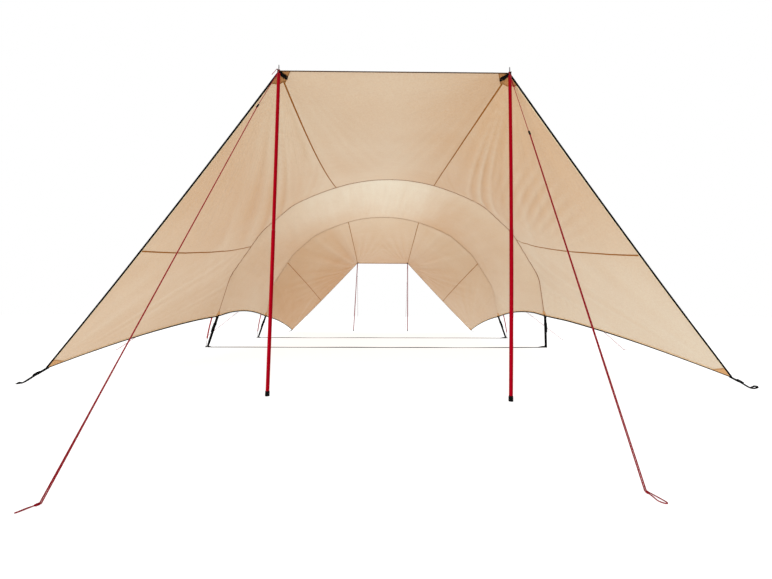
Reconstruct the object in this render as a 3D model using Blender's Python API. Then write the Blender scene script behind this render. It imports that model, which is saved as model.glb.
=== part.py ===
"""Party tent: a tunnel-shaped canopy over two arch poles, held up at each end by two upright poles.

Metres, +Z up. The origin is on the floor under the middle of the tent. The tent's length runs along Y
with its front at -Y, and left and right are as seen from the front. The canopy is sewn from eleven
panels. Webbing runs along both open ends, straps hold the corners and the arch feet down, and guy lines
run from the peaks and from the arches to the ground.
"""

from math import cos, pi, radians, sin

import bmesh
import bpy
from mathutils import Vector

# Driving dimensions
POLE_HEIGHT = 1.80
PEAK_RISE = 0.0125
RIDGE_HALF = {"front": 0.652, "rear": 0.676}
END_Y = 3.646
ARCH_Y = 0.916
ARCH_TOP = 2.283
HEM_ANGLE = radians(11.2)
SIDE_SEAM_ANGLE = radians(38.0)
CENTRE_SEAM_ANGLE = radians(73.0)
SIDE_SEAM_SHARE = 0.575

# Elbows of the arch, between which its pole is straight: place across the cloth, and the cloth's radius
SHOULDER = (1.5, 2.315)
UPPER_ELBOW = (1.875, 2.300)
TUCK = (2.5, 2.277)

# A pitched tent isn't quite plumb. Pairs of a place along it and its lean to the right for each metre up
LEANS = ((-END_Y, 0.028), (-ARCH_Y, 0.042), (ARCH_Y, 0.009), (END_Y, 0.009))

# Sag and rise of the stretched cloth
SIDE_SAG = 0.065
CENTRE_SAG = 0.075
MIDDLE_SAG = 0.02
EDGE_BOW = 0.012
END_HEM_RISE = 0.05
MIDDLE_HEM_RISE = 0.06

# Stock sizes
GAP = 0.0003
CLOTH = 0.004
SEAM_GAP = 0.0002
POLE_RADIUS = 0.008
CAP_RADIUS = 0.011
CAP_HEIGHT = 0.028
SPIKE_RADIUS = 0.003
SPIKE_LENGTH = 0.038
ARCH_POLE_RADIUS = 0.007
SLEEVE_BORE = ARCH_POLE_RADIUS + 0.0004
SLEEVE_RADIUS = SLEEVE_BORE + 0.0016
SLEEVE_SEAT = 0.0006
EDGE_ABOVE = 0.005
EDGE_BELOW = 0.002
EDGE_THICK = 0.004
EYELET_WIDTH = 0.022
EYELET_HEIGHT = 0.012
EYELET_OVERHANG = 0.004
WEBBING_WIDTH = 0.025
WEBBING_THICK = 0.002
CORNER_WEBBING_WIDTH = 0.015
CORD_RADIUS = 0.0015
STRAND_SPACING = 0.006
CORD_SIDES = 2

# How many steps the cloth is divided into
HEM_STEPS = 6
SIDE_STEPS = 8
CENTRE_STEPS = 4
END_ROWS = 8
MIDDLE_ROWS = 4
LEG_STEPS = 4

# The cloth's peaks hang from the eyelets, a little over the pole tops
PEAK_Z = POLE_HEIGHT + PEAK_RISE
EDGE_FACE_Y = END_Y + GAP + EDGE_THICK
POLE_Y = EDGE_FACE_Y + GAP + POLE_RADIUS
ARCH_OFFSET = CLOTH + SLEEVE_SEAT + SLEEVE_RADIUS

ENDS = {"front": -1, "rear": 1}
SIDES = {"left": -1, "right": 1}

# Where things meet the ground, each placed by hand as on a pitched tent.
# A corner has its cloth's corner, where its strap meets the floor, and where the strap ends.
CORNERS = {
    ("front", "left"): (
        Vector((-2.145, -3.26, 0.094)), Vector((-2.276, -3.278, 0)), Vector((-2.31, -3.282, 0))
    ),
    ("front", "right"): (
        Vector((2.16, -3.36, 0.058)), Vector((2.205, -3.392, 0)), Vector((2.28, -3.406, 0))
    ),
    ("rear", "left"): (
        Vector((-2.27, 3.28, 0.045)), Vector((-2.33, 3.32, 0)), Vector((-2.39, 3.335, 0))
    ),
    ("rear", "right"): (
        Vector((2.27, 3.28, 0.045)), Vector((2.33, 3.32, 0)), Vector((2.39, 3.335, 0))
    ),
}
POLE_FEET = {
    ("front", "left"): Vector((-0.632, -POLE_Y + 0.05, 0)),
    ("front", "right"): Vector((0.642, -POLE_Y - 0.066, 0)),
    ("rear", "left"): Vector((-0.747, POLE_Y, 0)),
    ("rear", "right"): Vector((0.687, POLE_Y, 0)),
}
# An arch foot, how far the pole bows outward above it, and the cloth's radius at the hem there
ARCH_FEET = {
    ("front", "left"): (Vector((-2.32, -ARCH_Y, 0)), 0.055, 2.242),
    ("front", "right"): (Vector((2.208, -0.866, 0)), 0.028, 2.194),
    ("rear", "left"): (Vector((-2.308, ARCH_Y, 0)), 0.05, 2.205),
    ("rear", "right"): (Vector((2.332, ARCH_Y, 0)), 0.055, 2.215),
}
GUY_KNOTS = {
    ("front", "left"): Vector((-0.809, -4.661, 0)),
    ("front", "right"): Vector((0.641, -4.616, 0)),
    ("rear", "left"): Vector((-0.700, 4.661, 0)),
    ("rear", "right"): Vector((0.700, 4.661, 0)),
}
SIDE_GUY_KNOTS = {
    ("front", "left"): Vector((-3.2, -1.28, 0)),
    ("front", "right"): Vector((3.06, -1.15, 0)),
    ("rear", "left"): Vector((-3.2, 0.80, 0)),
    ("rear", "right"): Vector((3.2, 0.60, 0)),
}
GUY_SLIDER_SHARE = {"left": 0.12, "right": 0.22}
SIDE_SLIDER_SHARE = 0.2
GUY_LOOP = 0.045

COLOURS = {
    "cloth": ((0.66, 0.50, 0.34), 0.85, 0.0),
    "sleeve": ((0.62, 0.46, 0.31), 0.85, 0.0),
    "red_pole": ((0.36, 0.0, 0.012), 0.35, 0.2),
    "steel": ((0.45, 0.45, 0.46), 0.35, 0.9),
    "black_plastic": ((0.01, 0.01, 0.01), 0.5, 0.0),
    "webbing": ((0.012, 0.012, 0.012), 0.8, 0.0),
    "cord": ((0.38, 0.01, 0.03), 0.7, 0.0),
}


def clear_scene():
    for item in list(bpy.data.objects):
        bpy.data.objects.remove(item, do_unlink=True)


def finish(item, colour):
    """Link an object and give it its own material."""
    bpy.context.scene.collection.objects.link(item)
    base, roughness, metallic = COLOURS[colour]
    material = bpy.data.materials.new(item.name + "_" + colour)
    material.use_nodes = True
    shader = material.node_tree.nodes["Principled BSDF"]
    shader.inputs["Base Color"].default_value = (*base, 1.0)
    shader.inputs["Roughness"].default_value = roughness
    shader.inputs["Metallic"].default_value = metallic
    item.data.materials.append(material)
    return item


def pitched(point):
    """A point's place on the pitched tent, which leans."""
    for (near, near_lean), (far, far_lean) in zip(LEANS, LEANS[1:]):
        if point[1] < far:
            break
    share = min(max((point[1] - near) / (far - near), 0), 1)
    lean = near_lean + (far_lean - near_lean) * share
    return Vector((point[0] + lean * point[2], point[1], point[2]))


def mesh_object(name, bm, colour, smooth=False):
    """Turn a bmesh into a named object with its faces pointing out."""
    bmesh.ops.recalc_face_normals(bm, faces=bm.faces)
    mesh = bpy.data.meshes.new(name)
    bm.to_mesh(mesh)
    bm.free()
    if smooth:
        mesh.shade_smooth()
        mesh.set_sharp_from_angle(angle=radians(40))
    return finish(bpy.data.objects.new(name, mesh), colour)


def bridge_rings(bm, rings, closed=False):
    """Join rings of vertices into a tube, with its ends filled unless it closes on itself."""
    pairs = list(zip(rings, rings[1:]))
    if closed:
        pairs.append((rings[-1], rings[0]))
    for ring, following in pairs:
        count = len(ring)
        for k in range(count):
            after = (k + 1) % count
            bm.faces.new((ring[k], ring[after], following[after], following[k]))
    if not closed:
        bm.faces.new(rings[0])
        bm.faces.new(rings[-1])


def ribbon(name, points, across, through, colour):
    """A flat strip along points. across and through are its width and its thickness as vectors."""
    bm = bmesh.new()
    corners = (-across - through, across - through, across + through, through - across)
    rings = [[bm.verts.new(pitched(point + corner / 2)) for corner in corners] for point in points]
    bridge_rings(bm, rings)
    return mesh_object(name, bm, colour)


def rod(name, base, tip, radius, colour, sides=16):
    """A round bar between two points."""
    axis = tip - base
    turn = Vector((0, 0, 1)).rotation_difference(axis)
    bm = bmesh.new()
    bmesh.ops.create_cone(
        bm, cap_ends=True, segments=sides, radius1=radius, radius2=radius, depth=axis.length
    )
    item = mesh_object(name, bm, colour, smooth=True)
    item.rotation_mode = "QUATERNION"
    item.rotation_quaternion = turn
    item.location = (base + tip) / 2
    return item


def cord(name, points, colour="cord"):
    """A line of one open cord through the given points."""
    curve = bpy.data.curves.new(name, "CURVE")
    curve.dimensions = "3D"
    curve.bevel_depth = CORD_RADIUS
    curve.bevel_resolution = CORD_SIDES
    curve.use_fill_caps = True
    spline = curve.splines.new("POLY")
    spline.points.add(len(points) - 1)
    for slot, point in zip(spline.points, points):
        slot.co = (*point, 1.0)
    return finish(bpy.data.objects.new(name, curve), colour)


def smoothstep(value):
    share = min(max(value, 0.0), 1.0)
    return share * share * (3 - 2 * share)


# The cloth. u runs across the tent: 0 on top, 1 at the centre seam, 2 at the side seam, 3 at the hem.

def arch_angle(u):
    """Height angle of the arch at u, from the floor."""
    m = abs(u)
    if m <= 1:
        return pi / 2 + (CENTRE_SEAM_ANGLE - pi / 2) * m
    if m <= 2:
        return CENTRE_SEAM_ANGLE + (SIDE_SEAM_ANGLE - CENTRE_SEAM_ANGLE) * (m - 1)
    return SIDE_SEAM_ANGLE + (HEM_ANGLE - SIDE_SEAM_ANGLE) * (m - 2)


def outward(u):
    """Direction from the tunnel's axis to the arch at u."""
    side = -1 if u < 0 else 1
    angle = arch_angle(u)
    return Vector((side * cos(angle), 0, sin(angle)))


def straight_radius(u, upper, lower):
    """Cloth radius at u on the straight line between two elbows."""
    first = outward(upper[0]) * upper[1]
    second = outward(lower[0]) * lower[1]
    run = second - first
    out = outward(abs(u))
    return (first.x * run.z - first.z * run.x) / (out.x * run.z - out.z * run.x)


def arch_radius(u, end):
    """Radius of the cloth under an arch: round on top, then straight from elbow to elbow and to the hem."""
    m = abs(u)
    if m <= 1:
        return ARCH_TOP
    if m <= SHOULDER[0]:
        share = (SHOULDER[0] - m) / (SHOULDER[0] - 1)
        return ARCH_TOP + (SHOULDER[1] - ARCH_TOP) * (1 - share) ** 2
    side = "left" if u < 0 else "right"
    elbows = [SHOULDER, UPPER_ELBOW, TUCK, (3, ARCH_FEET[end, side][2])]
    for upper, lower in zip(elbows, elbows[1:]):
        if m <= lower[0]:
            break
    return straight_radius(u, upper, lower)


def arch_point(u, end):
    """Inner face of the cloth under an arch."""
    return outward(u) * arch_radius(u, end) + Vector((0, ENDS[end] * ARCH_Y, 0))


def edge_point(u, end):
    """Inner face of the cloth on an end's free edge: level ridge, then a slope that bows in a little."""
    m = abs(u)
    side = "left" if u < 0 else "right"
    peak = Vector((SIDES[side] * RIDGE_HALF[end], ENDS[end] * END_Y, PEAK_Z))
    if m <= 1:
        return Vector((peak.x * m, peak.y, peak.z))
    share = (m - 1) * SIDE_SEAM_SHARE
    if m > 2:
        share = SIDE_SEAM_SHARE + (m - 2) * (1 - SIDE_SEAM_SHARE)
    corner = CORNERS[end, side][0]
    inward = Vector((corner.z - peak.z, 0, -abs(corner.x - peak.x))).normalized()
    inward.x *= SIDES[side]
    return peak.lerp(corner, share) + inward * EDGE_BOW * 4 * share * (1 - share)


def sag(u):
    """How far the end bay's cloth sags between the arch and the free edge."""
    m = abs(u)
    if m <= 1:
        return CENTRE_SAG
    if m <= 2:
        return CENTRE_SAG + (SIDE_SAG - CENTRE_SAG) * smoothstep(m - 1)
    return SIDE_SAG * (1 - smoothstep(m - 2))


def hem_share(u):
    """1 at the hem, falling to 0 at the side seam."""
    return max(abs(u) - 2, 0) ** 2


def end_bay_point(u, reach, end):
    """Cloth between an arch (reach 0) and the free edge (reach 1) of one end."""
    point = arch_point(u, end).lerp(edge_point(u, end), reach)
    bow = 4 * reach * (1 - reach)
    point -= outward(u) * sag(u) * bow
    point.z += END_HEM_RISE * hem_share(u) * bow
    return point


def middle_point(u, share):
    """Cloth between the arches, from the front one (share -1) to the rear one (share 1)."""
    bow = 1 - share * share
    point = arch_point(u, "front").lerp(arch_point(u, "rear"), (1 + share) / 2)
    point -= outward(u) * MIDDLE_SAG * bow * (1 - hem_share(u))
    point.z += MIDDLE_HEM_RISE * hem_share(u) * bow
    return point


def cloth_columns():
    """Every u across the tent, from the left hem to the right hem."""
    half = [k / CENTRE_STEPS for k in range(CENTRE_STEPS)]
    half += [1 + k / SIDE_STEPS for k in range(SIDE_STEPS)]
    half += [2 + k / HEM_STEPS for k in range(HEM_STEPS + 1)]
    return [-u for u in reversed(half[1:])] + half


def cloth_grid(columns):
    """Rows of points on the inner face, from the front edge to the rear edge."""
    front = [[end_bay_point(u, 1 - k / END_ROWS, "front") for u in columns] for k in range(END_ROWS)]
    steps = [2 * k / MIDDLE_ROWS - 1 for k in range(MIDDLE_ROWS + 1)]
    middle = [[middle_point(u, step) for u in columns] for step in steps]
    rear = [[end_bay_point(u, (k + 1) / END_ROWS, "rear") for u in columns] for k in range(END_ROWS)]
    return front + middle + rear


def cloth_normals(grid):
    """Outward normals of the grid, shared by the panels that meet at a seam."""
    last_row = len(grid) - 1
    last_column = len(grid[0]) - 1
    normals = []
    for i, row in enumerate(grid):
        line = []
        for j in range(len(row)):
            along = grid[min(i + 1, last_row)][j] - grid[max(i - 1, 0)][j]
            across = row[min(j + 1, last_column)] - row[max(j - 1, 0)]
            normal = across.cross(along)
            if i in (0, last_row):
                normal.y = 0
            line.append(-normal.normalized())
        normals.append(line)
    return normals


def panel(name, grid, normals, rows, columns):
    """One sewn panel: the cloth between two rows and two columns, a seam gap short of its neighbours."""
    first_row, last_row = rows
    first_column, last_column = columns
    bm = bmesh.new()
    inner = {}
    outer = {}
    for i in range(first_row, last_row + 1):
        for j in range(first_column, last_column + 1):
            point = grid[i][j].copy()
            inside_row = min(max(i, first_row + 1), last_row - 1)
            inside_column = min(max(j, first_column + 1), last_column - 1)
            if inside_row != i:
                point += (grid[inside_row][j] - grid[i][j]).normalized() * SEAM_GAP
            if inside_column != j:
                point += (grid[i][inside_column] - grid[i][j]).normalized() * SEAM_GAP
            inner[i, j] = bm.verts.new(pitched(point))
            outer[i, j] = bm.verts.new(pitched(point + normals[i][j] * CLOTH))
    for i in range(first_row, last_row):
        for j in range(first_column, last_column):
            for skin in (inner, outer):
                bm.faces.new((skin[i, j], skin[i + 1, j], skin[i + 1, j + 1], skin[i, j + 1]))
    rim = [(first_row, j) for j in range(first_column, last_column)]
    rim += [(i, last_column) for i in range(first_row, last_row)]
    rim += [(last_row, j) for j in range(last_column, first_column, -1)]
    rim += [(i, first_column) for i in range(last_row, first_row, -1)]
    for here, after in zip(rim, rim[1:] + rim[:1]):
        bm.faces.new((inner[here], inner[after], outer[after], outer[here]))
    return mesh_object(name, bm, "cloth")


def make_canopy():
    columns = cloth_columns()
    grid = cloth_grid(columns)
    normals = cloth_normals(grid)
    hem_left = 0
    side_left = HEM_STEPS
    centre_left = side_left + SIDE_STEPS
    centre_right = centre_left + 2 * CENTRE_STEPS
    side_right = centre_right + SIDE_STEPS
    hem_right = side_right + HEM_STEPS
    strips = {
        "lower_left": (hem_left, side_left),
        "upper_left": (side_left, centre_left),
        "centre": (centre_left, centre_right),
        "upper_right": (centre_right, side_right),
        "lower_right": (side_right, hem_right),
    }
    front_arch = END_ROWS
    rear_arch = END_ROWS + MIDDLE_ROWS
    last = rear_arch + END_ROWS
    for strip, span in strips.items():
        panel(f"front_{strip}_panel", grid, normals, (0, front_arch), span)
        panel(f"rear_{strip}_panel", grid, normals, (rear_arch, last), span)
    panel("middle_panel", grid, normals, (front_arch, rear_arch), (hem_left, hem_right))


def leg_stations(end, side):
    """Centre and outward direction of an arch pole's rings below the cloth, from the foot upward."""
    way = SIDES[side]
    tuck_out = outward(way * TUCK[0])
    tuck = tuck_out * (TUCK[1] + ARCH_OFFSET) + Vector((0, ENDS[end] * ARCH_Y, 0))
    foot, bow, _ = ARCH_FEET[end, side]
    stations = []
    for k in range(LEG_STEPS):
        share = k / LEG_STEPS
        centre = foot.lerp(tuck, share)
        centre.x += way * bow * 4 * share * (1 - share)
        stations.append((centre, Vector((way, 0, 0)).lerp(tuck_out, share)))
    return stations


def sleeve_stations(end):
    """Centre and outward direction of the rings over the cloth, at the cloth's own columns."""
    covered = [u for u in cloth_columns() if abs(u) <= TUCK[0]]
    return [(arch_point(u, end) + outward(u) * ARCH_OFFSET, outward(u)) for u in covered]


def arch_ring(bm, station, radius, sides=8):
    """One ring of a tube that follows the arch, with a corner facing outward."""
    centre, out = station
    ring = []
    for k in range(sides):
        turn = 2 * pi * k / sides
        spot = centre + out * radius * cos(turn) + Vector((0, radius * sin(turn), 0))
        ring.append(bm.verts.new(pitched(spot)))
    return ring


def make_arch(end):
    """A red arch pole from floor to floor, and the cloth sleeve that it runs through over the canopy."""
    covered = sleeve_stations(end)
    whole = leg_stations(end, "left") + covered + leg_stations(end, "right")[::-1]
    bm = bmesh.new()
    bridge_rings(bm, [arch_ring(bm, station, ARCH_POLE_RADIUS) for station in whole])
    mesh_object(f"{end}_arch_pole", bm, "red_pole", smooth=True)
    bm = bmesh.new()
    outside = [arch_ring(bm, station, SLEEVE_RADIUS) for station in covered]
    inside = [arch_ring(bm, station, SLEEVE_BORE) for station in covered]
    bridge_rings(bm, outside + inside[::-1], closed=True)
    mesh_object(f"{end}_arch_sleeve", bm, "sleeve", smooth=True)


def make_arch_feet(end):
    """Webbing from the hem down to each arch foot, and along the floor from foot to foot."""
    hem_clearance = 0.0016
    floor_ends = []
    for side, way in SIDES.items():
        foot = ARCH_FEET[end, side][0]
        top = arch_point(way * 3, end) - Vector((0, 0, hem_clearance))
        bottom = foot - Vector((way * (ARCH_POLE_RADIUS + 2 * GAP + WEBBING_WIDTH / 2), 0, 0))
        across = Vector((WEBBING_WIDTH, 0, 0))
        through = Vector((0, WEBBING_THICK, 0))
        ribbon(f"{end}_{side}_leg_strap", [top, bottom], across, through, "webbing")
        reach = Vector((way * (WEBBING_WIDTH / 2 + 2 * GAP), 0, -WEBBING_THICK / 2))
        floor_ends.append(bottom - reach)
    across = Vector((0, WEBBING_WIDTH, 0))
    through = Vector((0, 0, WEBBING_THICK))
    ribbon(f"{end}_floor_strap", floor_ends, across, through, "webbing")


def make_edge_webbing(end):
    """Webbing along one open end, from corner to corner over both peaks, in front of the cloth's edge."""
    points = [edge_point(u, end) for u in cloth_columns()]
    rises = []
    for point, after in zip(points, points[1:]):
        run = after - point
        rises.append(Vector((-run.z, 0, run.x)).normalized())
    bm = bmesh.new()
    rings = []
    for point, before, after in zip(points, rises[:1] + rises, rises + rises[-1:]):
        rise = (before + after).normalized()
        rise /= rise.dot(before)
        high = point + rise * EDGE_ABOVE
        low = point - rise * EDGE_BELOW
        back = Vector((0, ENDS[end] * GAP, 0))
        front = Vector((0, ENDS[end] * (GAP + EDGE_THICK), 0))
        ring = (high + back, low + back, low + front, high + front)
        rings.append([bm.verts.new(pitched(spot)) for spot in ring])
    bridge_rings(bm, rings)
    mesh_object(f"{end}_edge_webbing", bm, "webbing")


def make_upright(end, side):
    """An upright pole with its foot cap, its top spike and the webbing eyelet that the spike holds."""
    sign = ENDS[end]
    way = SIDES[side]
    foot = POLE_FEET[end, side]
    level_top = Vector((way * RIDGE_HALF[end], sign * POLE_Y, POLE_HEIGHT))
    top = pitched(level_top)
    name = f"{end}_{side}"
    rod(f"{name}_foot_cap", foot, foot + Vector((0, 0, CAP_HEIGHT)), CAP_RADIUS, "black_plastic")
    start = foot + Vector((0, 0, CAP_HEIGHT + 2 * GAP))
    lean = (top - start).normalized()
    rod(f"{name}_pole", start, top - lean * 2 * GAP, POLE_RADIUS, "red_pole")
    tip = top + Vector((0, 0, SPIKE_LENGTH))
    rod(f"{name}_spike", top, tip, SPIKE_RADIUS, "steel", sides=8)
    make_eyelet(f"{name}_eyelet", level_top, sign)


def make_eyelet(name, top, sign):
    """Folded webbing with a hole for the spike, on top of the pole and against the edge webbing."""
    hole = SPIKE_RADIUS + GAP
    low = top.y - sign * POLE_RADIUS
    high = top.y + sign * (POLE_RADIUS + EYELET_OVERHANG)
    half = EYELET_WIDTH / 2
    middle = (low + high) / 2
    reach = abs(high - low) / 2
    bm = bmesh.new()
    rings = []
    for size_x, size_y, centre_y, level in (
        (half, reach, middle, GAP),
        (half, reach, middle, GAP + EYELET_HEIGHT),
        (hole, hole, top.y, GAP + EYELET_HEIGHT),
        (hole, hole, top.y, GAP),
    ):
        ring = []
        for x, y in ((1, 1), (0, 1), (-1, 1), (-1, 0), (-1, -1), (0, -1), (1, -1), (1, 0)):
            spot = (top.x + x * size_x, centre_y + y * size_y, top.z + level)
            ring.append(bm.verts.new(pitched(spot)))
        rings.append(ring)
    bridge_rings(bm, rings, closed=True)
    mesh_object(name, bm, "webbing")


def make_corner_strap(end, side):
    """Webbing from a corner of the cloth down to the floor, with a flat end for the peg."""
    corner, peg, tip = CORNERS[end, side]
    corner_drop = 0.0027
    down = (peg - corner).normalized()
    lift = Vector((0, 0, WEBBING_THICK / 2))
    points = [corner - Vector((0, 0, corner_drop)), peg + lift, tip + lift]
    across = Vector((-down.y, down.x, 0)).normalized() * CORNER_WEBBING_WIDTH
    ribbon(f"{end}_{side}_corner_strap", points, across, Vector((0, 0, WEBBING_THICK)), "webbing")


def guy_points(lead_in, knot, slider_share):
    """A guy line: down to its knot, round the peg loop on the floor, and back up to its slider."""
    start = lead_in[-1]
    floor_z = CORD_RADIUS * 1.1
    knot = Vector((knot.x, knot.y, floor_z))
    run = knot - start
    away = Vector((run.x, run.y, 0)).normalized()
    beside = Vector((away.y, -away.x, 0)) * STRAND_SPACING
    tip = knot + away * GUY_LOOP
    half = STRAND_SPACING / 2
    round_end = []
    for k in range(1, 6):
        turn = pi * k / 6
        round_end.append(tip + beside / 2 - beside / 2 * cos(turn) - away * half * (1 - sin(turn)))
    back = [knot + beside, start + run * slider_share + beside]
    return lead_in + [knot] + round_end + back


def make_end_guy(end, side):
    """The guy line from a peak's spike to the ground in front of the pole."""
    sign = ENDS[end]
    top = pitched((SIDES[side] * RIDGE_HALF[end], sign * POLE_Y, POLE_HEIGHT))
    level = GAP + EYELET_HEIGHT + GAP + CORD_RADIUS
    near = SPIKE_RADIUS + GAP + CORD_RADIUS
    past_eyelet = POLE_RADIUS + EYELET_OVERHANG + GAP + 2 * CORD_RADIUS
    lead_in = [top + Vector((0, sign * near, level)), top + Vector((0, sign * past_eyelet, level))]
    knot = GUY_KNOTS[end, side]
    cord(f"{end}_{side}_guy", guy_points(lead_in, knot, GUY_SLIDER_SHARE[side]))


def make_side_guy(end, side):
    """The guy line from an arch, where its sleeve ends, to the ground beside the tent."""
    out = outward(SIDES[side] * TUCK[0])
    reach = TUCK[1] + ARCH_OFFSET + SLEEVE_RADIUS + GAP + CORD_RADIUS
    start = pitched(out * reach + Vector((0, ENDS[end] * ARCH_Y, 0)))
    knot = SIDE_GUY_KNOTS[end, side]
    cord(f"{end}_{side}_side_guy", guy_points([start], knot, SIDE_SLIDER_SHARE))


def main():
    clear_scene()
    make_canopy()
    for end in ENDS:
        make_arch(end)
        make_arch_feet(end)
        make_edge_webbing(end)
        for side in SIDES:
            make_upright(end, side)
            make_corner_strap(end, side)
            make_end_guy(end, side)
            make_side_guy(end, side)


main()
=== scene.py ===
"""Looks of the party tent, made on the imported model.

Metres, +Z up, front at -Y, left and right as seen from the front, all as in the part's source. The canopy is
one sheet on a lattice of points. Seams, hems and patches lie on the same lattice, so they follow its folds.
"""

from math import atan2, cos, exp, pi, radians, sin, tau

import bmesh
import bpy
import numpy as np
from mathutils import Matrix, Vector, noise


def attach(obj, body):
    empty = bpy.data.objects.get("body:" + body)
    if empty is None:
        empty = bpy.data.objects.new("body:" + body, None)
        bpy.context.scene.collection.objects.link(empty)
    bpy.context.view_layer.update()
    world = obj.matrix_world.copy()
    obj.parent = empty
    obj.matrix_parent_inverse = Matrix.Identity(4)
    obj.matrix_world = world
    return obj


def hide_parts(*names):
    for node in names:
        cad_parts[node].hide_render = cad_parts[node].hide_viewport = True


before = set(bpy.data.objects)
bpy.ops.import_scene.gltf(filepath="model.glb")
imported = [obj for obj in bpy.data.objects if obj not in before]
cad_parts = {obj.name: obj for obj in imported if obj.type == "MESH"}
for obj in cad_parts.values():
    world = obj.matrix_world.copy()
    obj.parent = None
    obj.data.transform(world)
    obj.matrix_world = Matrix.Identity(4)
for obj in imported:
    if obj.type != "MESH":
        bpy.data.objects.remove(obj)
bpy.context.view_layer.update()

ENDS = {"front": -1, "rear": 1}
SIDES = {"left": -1, "right": 1}
RIGHTWARD = Vector((1, 0, 0))
REARWARD = Vector((0, 1, 0))
UPWARD = Vector((0, 0, 1))


def each_corner(*values):
    """Values by end and side, given for the front left, front right, rear left and rear right."""
    return dict(zip([(end, side) for end in ENDS for side in SIDES], values))


# The tent's shape, with the same driving dimensions as the part's source
POLE_HEIGHT = 1.80
PEAK_RISE = 0.0085
RIDGE_HALF = {"front": 0.652, "rear": 0.676}
END_Y = 3.646
ARCH_Y = 0.916
ARCH_TOP = 2.283
HEM_ANGLE = radians(11.2)
SIDE_SEAM_ANGLE = radians(38.0)
CENTRE_SEAM_ANGLE = radians(73.0)
SIDE_SEAM_SHARE = 0.575
SHOULDER = (radians(55.5), 2.315)
UPPER_ELBOW = (radians(42.375), 2.300)
TUCK = (radians(24.6), 2.277)
TUCK_U = 2.5
LEANS = ((-END_Y, 0.028), (-ARCH_Y, 0.042), (ARCH_Y, 0.009), (END_Y, 0.009))
SIDE_SAG = 0.065
CENTRE_SAG = 0.075
MIDDLE_SAG = 0.02
EDGE_BOW = 0.012
END_HEM_RISES = each_corner(0.040, 0.032, 0.05, 0.05)
MIDDLE_HEM_RISES = {"left": 0.083, "right": 0.070}
# How far the hem hangs below the arch's own curve, from where the pole leaves its sleeve
HEM_DROPS = each_corner(0.023, -0.006, 0.024, 0.022)
# How much higher the front right pole stands than the other three
POLE_RISES = each_corner(0.0, 0.005, 0.0, 0.0)
# How far a pole bows to the right under its load
POLE_BOWS = each_corner(0.0015, 0.0055, 0.0, 0.0)
PEAK_Z = POLE_HEIGHT + PEAK_RISE
POLE_CLEARANCE = 0.0126
POLE_Y = END_Y + POLE_CLEARANCE
UPPER_RADIUS = 0.0094
LOWER_RADIUS = 0.0104
ARCH_POLE_RADIUS = 0.007
ARCH_TUBE_RADIUS = 0.0082
ARCH_OFFSET = 0.0136
SHEET_LIFT = 0.002
CORD_RADIUS = 0.0015
WEBBING_WIDTH = 0.025
WEBBING_THICK = 0.002

# The front arch's cloth is pulled round to the left, and the cloth in front of it hangs to the left too
CLOTH_TURN = {"front": radians(1.7), "rear": 0.0}
CLOTH_DRIFT = {"front": 0.025, "rear": 0.0}

# Where things meet the ground, each placed as on a pitched tent
CORNERS = each_corner(
    Vector((-2.145, -3.26, 0.094)), Vector((2.16, -3.36, 0.058)),
    Vector((-2.27, 3.28, 0.045)), Vector((2.27, 3.28, 0.045)),
)
POLE_FEET = each_corner(
    Vector((-0.632, -POLE_Y + 0.05, 0)), Vector((0.642, -POLE_Y - 0.066, 0)),
    Vector((-0.747, POLE_Y, 0)), Vector((0.687, POLE_Y, 0)),
)
# An arch foot, how far the pole bows outward above it, and the cloth's radius at the hem there
ARCH_FEET = each_corner(
    (Vector((-2.32, -ARCH_Y, 0)), 0.055, 2.242),
    (Vector((2.208, -0.866, 0)), 0.022, 2.194),
    (Vector((-2.308, ARCH_Y, 0)), 0.05, 2.205),
    (Vector((2.332, ARCH_Y, 0)), 0.055, 2.215),
)
GUY_KNOTS = each_corner(
    Vector((-0.8096, -4.662, 0)), Vector((0.640, -4.617, 0)),
    Vector((-0.700, 4.661, 0)), Vector((0.700, 4.661, 0)),
)
SIDE_GUY_KNOTS = each_corner(
    Vector((-3.2, -1.28, 0)), Vector((3.06, -1.15, 0)),
    Vector((-3.2, 0.80, 0)), Vector((3.2, 0.60, 0)),
)

# How finely the lattice is divided
CENTRE_COLUMNS = 28
SIDE_COLUMNS = 56
HEM_COLUMNS = 40
END_ROWS = 84
MIDDLE_ROWS = 48


def smoothstep(value):
    share = min(max(value, 0.0), 1.0)
    return share * share * (3 - 2 * share)


def hump(value, middle, width):
    """A smooth hump that is 1 at the middle."""
    return exp(-(((value - middle) / width) ** 2))


def arc(share):
    """A bow that is 0 at both ends and 1 halfway."""
    return 4 * share * (1 - share)


def noise_at(x, y, z):
    return noise.noise(Vector((x, y, z)))


def side_of(u):
    return "left" if u < 0 else "right"


def pitched(point):
    """A point's place on the pitched tent, which leans."""
    for (near, near_lean), (far, far_lean) in zip(LEANS, LEANS[1:]):
        if point[1] < far:
            break
    share = min(max((point[1] - near) / (far - near), 0), 1)
    lean = near_lean + (far_lean - near_lean) * share
    return Vector((point[0] + lean * point[2], point[1], point[2]))


# Shape of the cloth. u runs across it: 0 on top, 1 at the centre seam, 2 at the side seam, 3 at the hem.

def elevation(u):
    """Height angle of the arch at u, from the floor."""
    m = abs(u)
    if m <= 1:
        return pi / 2 + (CENTRE_SEAM_ANGLE - pi / 2) * m
    if m <= 2:
        return CENTRE_SEAM_ANGLE + (SIDE_SEAM_ANGLE - CENTRE_SEAM_ANGLE) * (m - 1)
    return SIDE_SEAM_ANGLE + (HEM_ANGLE - SIDE_SEAM_ANGLE) * (m - 2)


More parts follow.
